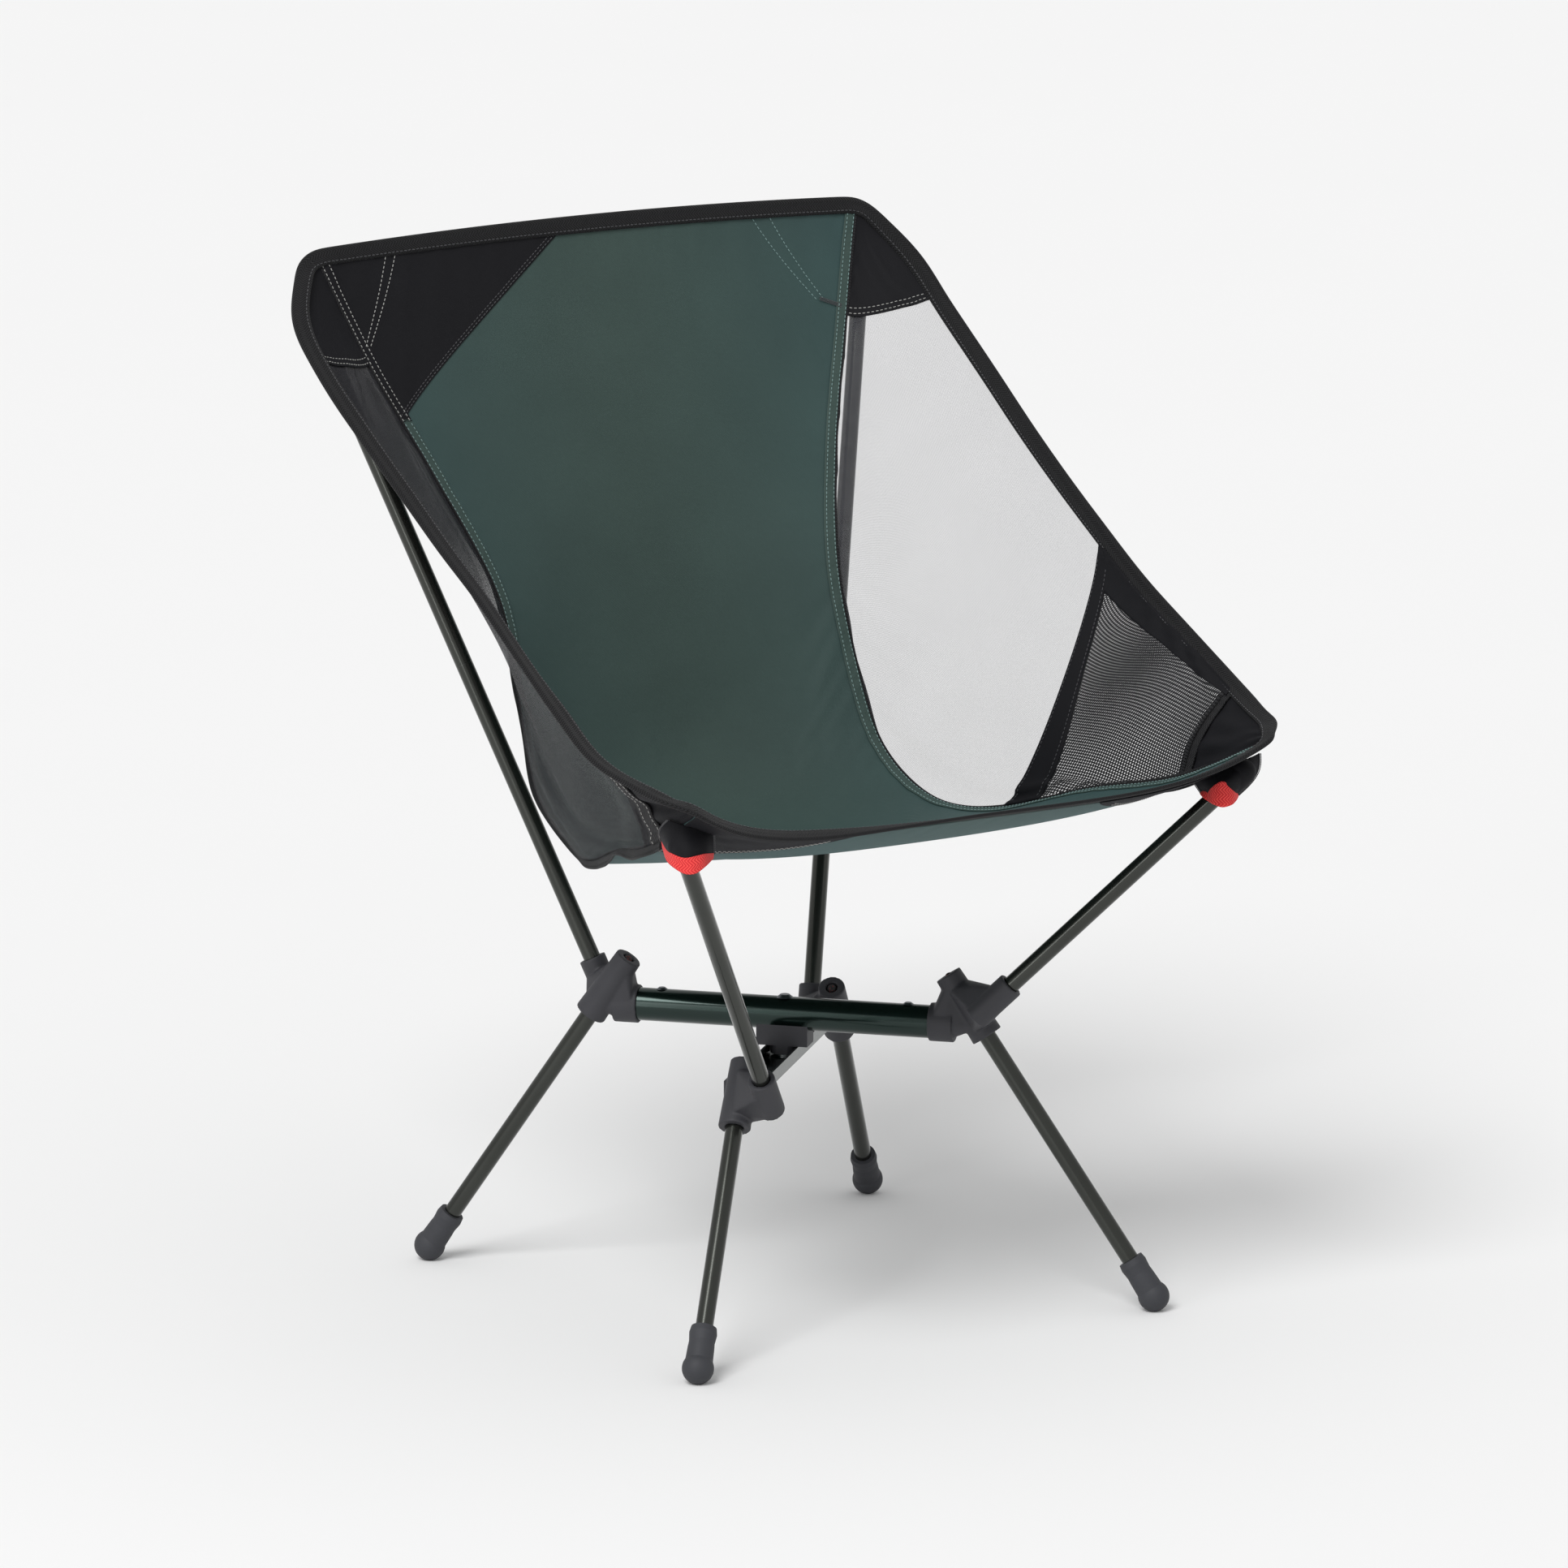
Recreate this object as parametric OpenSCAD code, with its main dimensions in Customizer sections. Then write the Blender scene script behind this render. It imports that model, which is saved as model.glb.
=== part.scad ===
// Ultralight folding camp chair.
// Two crossed bars turn on a centre pivot. Each bar end carries a moulded hub that
// holds one leg and one pole, and a sewn sling hangs from the four pole tips.
// X runs to the chair's sides, the seat opens towards -Y, and Z is up. Millimetres.

/* [Bars] */
// Height of the main tube's axis above the ground
tube_z = 181.5; // [180:0.5:183]
// Outer diameter of the main tube
tube_d = 21.5; // [21:0.1:21.8]
// Wall of the main tube
tube_wall = 1.2; // [1:0.1:1.3]
// Length of bar that shows from the pivot to each hub
bar_half = 97; // [95:0.5:98]
// Angle of each bar from the X axis, seen from above
bar_angle = 45; // [44:0.5:46]
// Width of the channel that crosses under the main tube
channel_w = 22; // [21:0.5:23]
// Height of the channel's side walls
channel_h = 8.5; // [8:0.1:8.8]
// Wall of the channel
channel_wall = 1.4; // [1.2:0.1:1.6]
// Height of the channel's underside above the ground
channel_z = 152.5; // [152:0.5:153]
// How much lower the channel's hubs sit than the main tube's hubs
hub_drop = 38.8; // [38:0.1:39.5]

/* [Hubs] */
// Diameter of a leg sleeve at its top
sleeve_top_d = 17.5; // [17:0.1:18.5]
// Diameter of a leg sleeve at its mouth
sleeve_low_d = 21; // [20:0.5:22]
// Length of a leg sleeve
sleeve_len = 47; // [45:1:49]
// Outer diameter of a pole socket
socket_d = 17.5; // [17:0.1:18.5]
// Depth that a pole sits in its socket
socket_depth = 25; // [23:1:26]
// Outer diameter of the collar around a bar end
collar_d = 25; // [24.5:0.1:26]

/* [Legs and poles] */
// Outer diameter of the legs and poles
pole_d = 11.3; // [11:0.1:11.5]
// Wall of the legs and poles
pole_wall = 1; // [0.8:0.1:1.1]
// Half the distance between the back feet
back_foot_x = 167.5; // [166:0.5:169]
// Distance of the back feet behind the pivot
back_foot_y = 169; // [168:0.5:170]
// Half the distance between the front feet
front_foot_x = 170; // [169:0.5:172]
// Distance of the front feet ahead of the pivot
front_foot_y = 177; // [176:0.5:178]
// Half the distance between the back pole tips
back_tip_x = 214; // [213:0.5:214.5]
// Distance of the back pole tips behind the pivot
back_tip_y = 255; // [254.5:0.5:256]
// Height of the back pole tips
back_tip_z = 637; // [635:0.5:637.5]
// Half the distance between the front pole tips
front_tip_x = 208; // [207:0.5:208.5]
// Distance of the front pole tips ahead of the pivot
front_tip_y = 218.5; // [218:0.5:219]
// Height of the front pole tips
front_tip_z = 359.5; // [358:0.5:360]
// Where the back poles come apart, as a share of the length above the hub
split_at = 0.44; // [0.42:0.01:0.46]
// Length of the ferrule that joins the two halves of a back pole
ferrule_len = 70; // [60:2:76]

/* [Feet] */
// Radius of a foot's rubber bulb
foot_r = 10.2; // [10:0.1:10.4]
// Length of a foot above the middle of its bulb
foot_len = 28; // [26:1:30]

/* [Sling] */
// Thickness of the fabric panels
fabric_t = 2.5; // [2:0.1:2.6]
// Width of the edge binding
binding_w = 10; // [8:0.5:12]
// Thickness of the edge binding
binding_t = 4; // [3.5:0.1:4.2]
// How far a side panel's tension pulls its middle inwards
side_pull = 13; // [11:0.5:14]

/* [Hidden] */
$fn = 64;

tube_green = "#1d2a27";
hub_grey = "#4a4a4d";
rubber_grey = "#4c4d4f";
fabric_green = "#3c5552";
fabric_black = "#1d1d1f";
mesh_grey = "#8c8c90";
rim_red = "#f0503f";
metal = "#b5b8ba";

// The pivot sits this far ahead of the middle of the chair's outline.
pivot_y = -7;
// Running clearance around a tube in its socket, and a gap between parts that slide.
fit_gap = 0.1;
slide_gap = 0.3;
// Depth that the hub's spigot reaches into its bar, and where its rivet sits.
spigot_start = 72;
rivet_at = 82;
bar_end = 104;
rivet_r = 2;
rivet_head_r = 3.6;
rivet_head_h = 1.2;
rivet_foot = 4;
pivot_r = 3;
pivot_head_r = 5.5;
pivot_head_h = 2;
washer_t = 1.2;
cord_r = 1.3;
cord_hole_r = 1.9;
knot_r = 3;
knot_recess_r = 4;
knot_recess_h = 5;
cap_d = 13;
cap_len = 16;
cap_crown = 3;
cord_in_leg = 150;
cord_from_tip = 20;
leg_seat = 9;
// Height of the bulb's middle, a little less than its radius, so that it rests flat.
foot_z = 9.8;
ground_size = 600;

function unit(v) = v / norm(v);
function cross_hub(tube) = tube ? 0 : hub_drop;

// A corner of the frame holds the points that its leg and pole run through:
// [sleeve top, foot, pole mouth, pole tip, true on the main tube, bar direction].
function corner(side, back, tube) = let (drop = cross_hub(tube)) [
    back ? [side * 77, 68, 213.5 - drop] : [side * 76.5, -76.5, 213.5 - drop],
    back ? [side * back_foot_x, back_foot_y, 12] : [side * front_foot_x, -front_foot_y, 12],
    back ? [side * 84, 103.5, 207 - drop] : [side * 93.5, -125.5, 214.7 - drop],
    back ? [side * back_tip_x, back_tip_y, back_tip_z]
         : [side * front_tip_x, -front_tip_y, front_tip_z],
    tube,
    atan2(back ? sin(bar_angle) : -sin(bar_angle), side * cos(bar_angle))
];
back_left = corner(-1, true, true);
back_right = corner(1, true, false);
front_left = corner(-1, false, false);
front_right = corner(1, false, true);

function sleeve_top(c) = c[0];
function foot_point(c) = c[1];
function pole_mouth(c) = c[2];
function pole_tip(c) = c[3];
function on_tube(c) = c[4];
function bar_turn(c) = c[5];
function pole_length(c) = norm(pole_tip(c) - pole_mouth(c));
function bulb_centre(c) = let (a = sleeve_top(c), b = foot_point(c))
    b + (b - a) * (b.z - foot_z) / (a.z - b.z);

// Stands children on point a with their Z axis towards point b.
module aim(a, b) {
    d = b - a;
    translate(a) rotate([0, acos(d.z / norm(d)), atan2(d.y, d.x)]) children();
}

module whole_chair() translate([0, pivot_y, 0]) children();

module along_leg(c) aim(sleeve_top(c), foot_point(c)) children();
module along_pole(c) aim(pole_mouth(c), pole_tip(c)) children();
module along_bar(c) rotate([0, 0, bar_turn(c)]) children();

module hollow(length, outer_d, wall) difference() {
    cylinder(h = length, d = outer_d);
    translate([0, 0, -1]) cylinder(h = length + 2, d = outer_d - 2 * wall);
}

// ---- Bars ----

module main_tube() color(tube_green) whole_chair() difference() {
    along_bar(back_left) translate([-bar_end, 0, tube_z]) rotate([0, 90, 0])
        hollow(2 * bar_end, tube_d, tube_wall);
    translate([0, 0, tube_z - tube_d]) cylinder(h = 2 * tube_d, r = pivot_r);
    for (c = [back_left, front_right])
        along_bar(c) translate([rivet_at, 0, tube_z]) cylinder(h = tube_d, r = rivet_r);
}

module cross_channel() color(tube_green) whole_chair() difference() {
    along_bar(front_left) translate([-bar_end, -channel_w / 2, channel_z])
        cube([2 * bar_end, channel_w, channel_h]);
    along_bar(front_left)
        translate([-bar_end - 1, channel_wall - channel_w / 2, channel_z + channel_wall])
            cube([2 * bar_end + 2, channel_w - 2 * channel_wall, channel_h]);
    translate([0, 0, channel_z - 1]) cylinder(h = channel_h, r = pivot_r + fit_gap);
    for (c = [front_left, back_right])
        along_bar(c) translate([rivet_at, 0, channel_z - 1])
            cylinder(h = channel_h, r = rivet_r);
}

saddle_len = 34;
saddle_w = 17;
saddle_z = channel_z + channel_wall + washer_t + slide_gap;

module saddle() color(hub_grey) whole_chair() difference() {
    intersection() {
        along_bar(back_left) translate([-saddle_len / 2, -saddle_w / 2, saddle_z])
            cube([saddle_len, saddle_w, tube_z - saddle_z - tube_d / 4]);
        union() {
            cylinder(h = tube_z, d = channel_w - 2 * channel_wall - 2 * slide_gap);
            translate([0, 0, channel_z + channel_h + slide_gap])
                cylinder(h = tube_z, d = 2 * saddle_len);
        }
    }
    along_bar(back_left) translate([-saddle_len, 0, tube_z]) rotate([0, 90, 0])
        cylinder(h = 2 * saddle_len, d = tube_d);
    cylinder(h = tube_z, r = pivot_r);
}

module thrust_washer() color(metal) whole_chair()
    translate([0, 0, channel_z + channel_wall + slide_gap / 2]) difference() {
        cylinder(h = washer_t, r = pivot_head_r + 1);
        translate([0, 0, -1]) cylinder(h = washer_t + 2, r = pivot_r);
    }

module pivot_rivet() color(metal) whole_chair() {
    top = tube_z + tube_d / 2;
    translate([0, 0, channel_z - slide_gap - pivot_head_h])
        cylinder(h = pivot_head_h, r1 = pivot_r, r2 = pivot_head_r);
    translate([0, 0, channel_z - slide_gap - pivot_head_h])
        cylinder(h = top - channel_z + slide_gap + pivot_head_h, r = pivot_r);
    translate([0, 0, top - 0.4]) cylinder(h = pivot_head_h, r1 = pivot_head_r, r2 = pivot_r);
}

module rivet(length) {
    cylinder(h = length, r = rivet_r);
    translate([0, 0, length]) cylinder(h = rivet_head_h, r1 = rivet_head_r, r2 = rivet_r);
}

module tube_rivets() color(metal) whole_chair() for (c = [back_left, front_right])
    along_bar(c) translate([rivet_at, 0, tube_z + rivet_foot]) rivet(tube_d / 2 - rivet_foot);

module channel_rivets() color(metal) whole_chair() for (c = [front_left, back_right])
    along_bar(c) translate([rivet_at, 0, channel_z]) rivet(channel_h - 1);

// ---- Hubs ----

web_d = sleeve_top_d - 3;
web_end = 39;
stub_rim = 2;
stub_len = 16;
// Where the webs to the socket and to the bar start on the sleeve and on the socket.
web_to_pole = 8;
web_to_bar = 5;
web_lift = 2;
web_h = 20;
web_set_back = 3;
// Solid material under a pole's end in its socket, and the hole for the cord in it.
socket_floor = 7;
cord_hole_depth = 5;

// The moulded body: a sleeve for the leg, a socket for the pole and webs between them.
module hub_body(c) {
    along_leg(c) cylinder(h = sleeve_len, d1 = sleeve_top_d, d2 = sleeve_low_d);
    along_pole(c) translate([0, 0, -socket_depth - socket_floor])
        cylinder(h = socket_depth + socket_floor, d = socket_d);
    hull() {
        along_leg(c) translate([0, 0, web_to_pole])
            cylinder(h = web_end - web_to_pole + web_lift, d = web_d, $fn = 32);
        along_pole(c) translate([0, 0, -socket_depth - socket_floor + web_lift])
            cylinder(h = web_h, d = socket_d - 1, $fn = 32);
    }
    hull() {
        along_leg(c) translate([0, 0, web_to_bar])
            cylinder(h = web_end - web_to_bar, d = web_d, $fn = 32);
        bar_stub(c, web_set_back, stub_len / 2, 1);
    }
    bar_stub(c, 0, stub_len, 0);
}

// The part of a hub that wraps the end of its bar, set back and slimmed by an inset.
module bar_stub(c, back, length, inset) along_bar(c)
    if (on_tube(c))
        translate([bar_half + back, 0, tube_z]) rotate([0, 90, 0])
            cylinder(h = length, d = collar_d - 2 * inset);
    else
        translate([bar_half + back, inset - collar_d / 2, channel_z - stub_rim + inset])
            cube([length, collar_d - 2 * inset, channel_h + 2 * stub_rim - 2 * inset]);

// The room that the bar's end takes in the hub.
module bar_room(c) along_bar(c)
    if (on_tube(c))
        translate([bar_half - 1, 0, tube_z]) rotate([0, 90, 0])
            cylinder(h = bar_end - bar_half + 1.2, d = tube_d + 2 * fit_gap);
    else
        translate([bar_half - 1, -channel_w / 2 - fit_gap, channel_z - fit_gap])
            cube([bar_end - bar_half + 1.2, channel_w + 2 * fit_gap, channel_h + 2 * fit_gap]);

// The spigot of the hub that reaches into the bar, where a rivet holds it.
module spigot(c) along_bar(c) difference() {
    if (on_tube(c))
        translate([spigot_start, 0, tube_z]) rotate([0, 90, 0])
            cylinder(h = bar_end + 1 - spigot_start, d = tube_d - 2 * tube_wall - 2 * fit_gap);
    else
        translate([spigot_start, fit_gap + channel_wall - channel_w / 2,
                   channel_z + channel_wall + fit_gap])
            cube([bar_end + 1 - spigot_start, channel_w - 2 * channel_wall - 2 * fit_gap,
                  channel_h - channel_wall - 1.2]);
    translate([rivet_at, 0, channel_z]) cylinder(h = tube_d + tube_z - channel_z, r = rivet_r);
}

module hub(c) color(hub_grey) whole_chair() {
    difference() {
        hub_body(c);
        bar_room(c);
        along_leg(c) translate([0, 0, leg_seat])
            cylinder(h = 2 * sleeve_len, d = pole_d + 2 * fit_gap);
        along_leg(c) translate([0, 0, -1]) cylinder(h = 2 * leg_seat, r = cord_hole_r);
        along_leg(c) translate([0, 0, -1]) cylinder(h = knot_recess_h + 1, r = knot_recess_r);
        along_pole(c) translate([0, 0, -socket_depth])
            cylinder(h = 2 * sleeve_len, d = pole_d + 2 * fit_gap);
        along_pole(c) translate([0, 0, -socket_depth - cord_hole_depth])
            cylinder(h = 2 * cord_hole_depth, r = cord_hole_r);
    }
    spigot(c);
}

module hub_back_left() hub(back_left);
module hub_back_right() hub(back_right);
module hub_front_left() hub(front_left);
module hub_front_right() hub(front_right);

// ---- Legs and feet ----

module leg(c) color(tube_green) whole_chair() {
    bulb = norm(bulb_centre(c) - sleeve_top(c));
    along_leg(c) translate([0, 0, leg_seat + fit_gap])
        hollow(bulb - leg_seat - fit_gap, pole_d, pole_wall);
}

// The foot's neck above its bulb: a waist, then a lip around the leg.
neck_r = foot_r - 1.2;
waist_r = foot_r - 2;
lip_r = foot_r - 1.3;
module foot_neck() rotate_extrude() polygon([
    [0, 0], [neck_r, 0], [neck_r - 0.5, foot_len / 2], [waist_r, foot_len * 0.64],
    [lip_r, foot_len - 4], [waist_r, foot_len], [0, foot_len]
]);

module foot(c) color(rubber_grey) whole_chair() difference() {
    aim(bulb_centre(c), sleeve_top(c)) rotate([0, 0, 90]) difference() {
        union() {
            sphere(r = foot_r);
            foot_neck();
        }
        cylinder(h = 2 * foot_len, d = pole_d);
    }
    translate([-ground_size / 2, -ground_size / 2, -foot_r])
        cube([ground_size, ground_size, foot_r]);
}

module leg_back_left() leg(back_left);
module leg_back_right() leg(back_right);
module leg_front_left() leg(front_left);
module leg_front_right() leg(front_right);
module foot_back_left() foot(back_left);
module foot_back_right() foot(back_right);
module foot_front_left() foot(front_left);
module foot_front_right() foot(front_right);

// ---- Poles ----

// A length of pole, from a to b along it, measured from the socket's mouth.
module pole(c, a, b) color(tube_green) whole_chair() along_pole(c)
    translate([0, 0, a]) hollow(b - a, pole_d, pole_wall);

function split(c) = split_at * pole_length(c);
function tube_top(c) = pole_length(c) - cap_crown;

module tip_cap(c) color(fabric_black) whole_chair() along_pole(c)
    translate([0, 0, pole_length(c) - cap_len]) difference() {
        union() {
            cylinder(h = cap_len - cap_crown, d = cap_d);
            translate([0, 0, cap_len - cap_crown])
                cylinder(h = cap_crown, d1 = cap_d, d2 = cap_d - 5);
        }
        translate([0, 0, -1]) cylinder(h = cap_len - 2, d = pole_d);
    }

module ferrule(c) color(metal) whole_chair() along_pole(c)
    translate([0, 0, split(c) - ferrule_len / 2])
        hollow(ferrule_len, pole_d - 2 * pole_wall - 2 * fit_gap, pole_wall);

module back_pole_lower_left() pole(back_left, -socket_depth + fit_gap, split(back_left) - fit_gap);
module back_pole_lower_right()
    pole(back_right, -socket_depth + fit_gap, split(back_right) - fit_gap);
module back_pole_upper_left() pole(back_left, split(back_left), tube_top(back_left));
module back_pole_upper_right() pole(back_right, split(back_right), tube_top(back_right));
module front_pole_left() pole(front_left, -socket_depth + fit_gap, tube_top(front_left));
module front_pole_right() pole(front_right, -socket_depth + fit_gap, tube_top(front_right));
module ferrule_left() ferrule(back_left);
module ferrule_right() ferrule(back_right);
module tip_cap_back_left() tip_cap(back_left);
module tip_cap_back_right() tip_cap(back_right);
module tip_cap_front_left() tip_cap(front_left);
module tip_cap_front_right() tip_cap(front_right);

// Elastic cord that holds a pole and a leg in their hub, knotted in the sleeve's top.
module shock_cord(c) color(rim_red) whole_chair() {
    along_leg(c) translate([0, 0, knot_recess_h - knot_r]) sphere(r = knot_r, $fn = 32);
    along_leg(c) translate([0, 0, knot_recess_h - knot_r]) cylinder(h = cord_in_leg, r = cord_r);
    along_pole(c) translate([0, 0, -socket_depth - cord_hole_depth + 1])
        cylinder(h = socket_depth + pole_length(c) - cord_from_tip, r = cord_r);
}

module shock_cord_back_left() shock_cord(back_left);
module shock_cord_back_right() shock_cord(back_right);
module shock_cord_front_left() shock_cord(front_left);
module shock_cord_front_right() shock_cord(front_right);

// ---- Sling ----

// Seam between the seat panel and the right side panel, from the top to the front.
seam = [[205, 250, 657], [180, 221, 585], [151, 185, 513], [129, 147, 444], [128, 122, 380],
        [132, 93, 326], [138, 40, 301], [154, -14, 303], [176, -88, 327], [198, -162, 347],
        [211, -246, 386]];
// The seat panel's centre line at the same stations.
middle = [[0, 251, 662], [0, 222, 590], [0, 195, 520], [0, 168, 450], [0, 146, 388],
          [0, 122, 334], [0, 82, 301], [0, 20, 291], [0, -70, 308], [0, -160, 330],
          [0, -236, 358]];
// The right side panel's free edge at the same stations.
rim = [[213, 250, 653], [232, 222, 623], [235, 185, 594], [234, 130, 560], [232, 80, 530],
       [231, 35, 504], [230, -10, 480], [231, -60, 452], [233, -110, 428], [234, -165, 404],
       [222, -229, 390]];
last = len(seam) - 1;

// A smooth curve through the points p, at station s.
function on_curve(p, s) = let (
    n = len(p) - 1, k = max(0, min(floor(s), n - 1)), t = s - k,
    b = p[k], c = p[k + 1],
    a = k > 0 ? p[k - 1] : 2 * b - c,
    d = k < n - 1 ? p[k + 2] : 2 * c - b
) (2 * b + (c - a) * t + (2 * a - 5 * b + 4 * c - d) * t * t
   + (3 * b - a - 3 * c + d) * t * t * t) / 2;

// A point of the seat panel: station s, and w from -1 at the left seam to 1 at the right.
function seat_point(s, w) = let (
    e = on_curve(seam, s), m = on_curve(middle, s), share = pow(abs(w), curl(s))
) [w * e.x, m.y + (e.y - m.y) * share, m.z + (e.z - m.z) * share];

// How late the seat turns up towards its seams: only its corners do at the front.
function curl(s) = 2 + 3 * pow(max(0, s - 7.5) / 2.5, 2);

// How much further back on the seam than on the edge a side panel's threads start.
function slant(s) = 1.5 * pow(sin(20 * min(s, 9)), 2);

// A point of the right side panel: station s, and v from 0 at the seam to 1 at the edge.
function side_point(s, v) = let (
    e = on_curve(seam, s - 0.8 * slant(s) * (1 - v)),
    r = on_curve(rim, s + 0.5 * slant(s) * v)
) e + (r - e) * v - [side_pull * sin(180 * v) * min(1, norm(r - e) / 100), 0, 0];

// Half the binding's width, as a share of a side panel's width at station s.
near_edge = 0.99;
function binding_share(s) = min(0.49,
    binding_w / 2 * (1 - near_edge) / norm(side_point(s, 1) - side_point(s, near_edge)));
// Half the binding's width in stations, at the top edge and at the front edge.
top_share = binding_w / 2 / norm(middle[1] - middle[0]);
front_share = binding_w / 2 / norm(middle[last] - middle[last - 1]);

function steps(a, b, n) = [for (i = [0 : n]) a + (b - a) * i / n];

function grid_normal(g, i, j) = let (
    n = len(g) - 1, m = len(g[0]) - 1,
    di = g[min(i + 1, n)][j] - g[max(i - 1, 0)][j],
    dj = g[i][min(j + 1, m)] - g[i][max(j - 1, 0)]
) unit(cross(di, dj));

// A closed sheet: the grid raised by lift along its normals, and thick behind that.
module sheet(g, lift, thick) {
    n = len(g) - 1;
    m = len(g[0]) - 1;
    w = m + 1;
    face = [for (i = [0 : n]) for (j = [0 : m]) g[i][j] + lift * grid_normal(g, i, j)];
    back = [for (i = [0 : n]) for (j = [0 : m])
        g[i][j] + (lift - thick) * grid_normal(g, i, j)];
    o = len(face);
    polyhedron(concat(face, back), concat(
        [for (i = [0 : n - 1]) for (j = [0 : m - 1]) each [
            [i * w + j, i * w + j + 1, (i + 1) * w + j + 1],
            [i * w + j, (i + 1) * w + j + 1, (i + 1) * w + j],
            [o + i * w + j, o + (i + 1) * w + j + 1, o + i * w + j + 1],
            [o + i * w + j, o + (i + 1) * w + j, o + (i + 1) * w + j + 1]]],
        [for (i = [0 : n - 1]) each [
            [i * w, (i + 1) * w, o + (i + 1) * w],
            [i * w, o + (i + 1) * w, o + i * w],
            [i * w + m, o + i * w + m, o + (i + 1) * w + m],
            [i * w + m, o + (i + 1) * w + m, (i + 1) * w + m]]],
        [for (j = [0 : m - 1]) each [
            [j, o + j, o + j + 1],
            [j, o + j + 1, j + 1],
            [n * w + j, n * w + j + 1, o + n * w + j + 1],
            [n * w + j, o + n * w + j + 1, o + n * w + j]]]
    ));
}

module seat_sheet(s0, s1, rows, w0, w1, cols, lift, thick) whole_chair() sheet(
    [for (s = steps(s0, s1, rows)) [for (w = steps(w0, w1, cols)) seat_point(s, w)]],
    lift, thick);

module seat_panel() color(fabric_green) seat_sheet(0, last, 30, -1, 1, 12, 0, fabric_t);

// The contrast panel sewn into the top left corner of the back.
corner_end = 1.5;
corner_w = 0.85;
corner_lift = 1.3;
corner_t = 1.2;
module corner_panel() color(fabric_black) whole_chair() sheet(
    [for (s = steps(top_share, corner_end, 8))
        [for (w = steps(-0.98, -0.97 + corner_w * (1 - s / corner_end), 5)) seat_point(s, w)]],
    corner_lift, corner_t);

module on_side(side) mirror([side < 0 ? 1 : 0, 0, 0]) children();

// Where the solid patch at the top of a side panel ends and the mesh starts.
patch_end = 1.35;
// Where the solid patch at the front corner starts.
front_patch_start = 8.95;

module side_sheet(s0, s1, rows, v0, v1, cols, lift, thick) whole_chair() sheet(
    [for (s = steps(s0, s1, rows)) [for (v = steps(v0, v1, cols)) side_point(s, v)]],
    lift, thick);

module side_mesh() color(mesh_grey)
    side_sheet(patch_end, last - 0.1, 24, 0, 1, 6, 0, fabric_t);
module side_patch() color(fabric_black) side_sheet(0.1, patch_end, 6, 0, 1, 4, 0, fabric_t);
module front_patch() color(fabric_black)
    side_sheet(front_patch_start, last - 0.1, 5, 0, 0.95, 4, -fabric_t - 0.1, 1.5);
module side_binding() color(fabric_black) whole_chair() sheet(
    [for (s = steps(0, last, 30)) let (b = binding_share(s))
        [side_point(s, 1 - b), side_point(s, 1 + b)]],
    (binding_t - fabric_t) / 2, binding_t);

module side_mesh_right() side_mesh();
module side_mesh_left() on_side(-1) side_mesh();
module side_patch_right() side_patch();
module side_patch_left() on_side(-1) side_patch();
module front_patch_right() front_patch();
module front_patch_left() on_side(-1) front_patch();
module binding_right() side_binding();
module binding_left() on_side(-1) side_binding();

// The storage pocket inside the right side panel. Its hem slants from edge to seam.
pocket_top_s = 5.9;
pocket_low_s = 7.5;
pocket_front_s = 9;
pocket_lift = 2.6;
pocket_t = 1.5;
module mesh_pocket() color(fabric_black) whole_chair() sheet(
    [for (u = steps(0, 1, 8)) [for (v = steps(0.06, 0.94, 6))
        let (hem = pocket_low_s + (pocket_top_s - pocket_low_s) * v)
            side_point(hem + (pocket_front_s - hem) * u, v)]],
    pocket_lift, pocket_t);

module binding_top() color(fabric_black)
    seat_sheet(-top_share, top_share, 1, -1, 1, 24, (binding_t - fabric_t) / 2, binding_t);
module binding_front() color(fabric_black)
    seat_sheet(last - front_share, last + front_share, 1, -1, 1, 24, (binding_t - fabric_t) / 2, binding_t);

// A cup's outer wall stands beyond a pole tip, square to the line from the pivot.
module cup_wall(c, gap, width, low, high) whole_chair() {
    tip = pole_tip(c);
    turn = atan2(tip.y, tip.x);
    translate([tip.x, tip.y, 0]) rotate([0, 0, turn])
        translate([gap, -width / 2, tip.z + low]) cube([cup_t, width, high - low]);
}

cup_t = 1.8;
// Each kind of cup's gap to the pole's tip, its width, and its ends below and above it.
back_cup = [6.8, 14, -38, 8];
front_cup = [6.6, 28, -18, 6];
rim_w = 24;
rim_h = 6;
module pocket_back(c) color(fabric_black)
    cup_wall(c, back_cup[0], back_cup[1], back_cup[2], back_cup[3]);
module pocket_front(c) color(fabric_black)
    cup_wall(c, front_cup[0], front_cup[1], front_cup[2], front_cup[3]);
module pocket_rim(c) color(rim_red)
    cup_wall(c, front_cup[0], rim_w, front_cup[2] - rim_h, front_cup[2]);

module pocket_back_left() pocket_back(back_left);
module pocket_back_right() pocket_back(back_right);
module pocket_front_left() pocket_front(front_left);
module pocket_front_right() pocket_front(front_right);
module pocket_rim_left() pocket_rim(front_left);
module pocket_rim_right() pocket_rim(front_right);

// ---- Drawing ----

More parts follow.
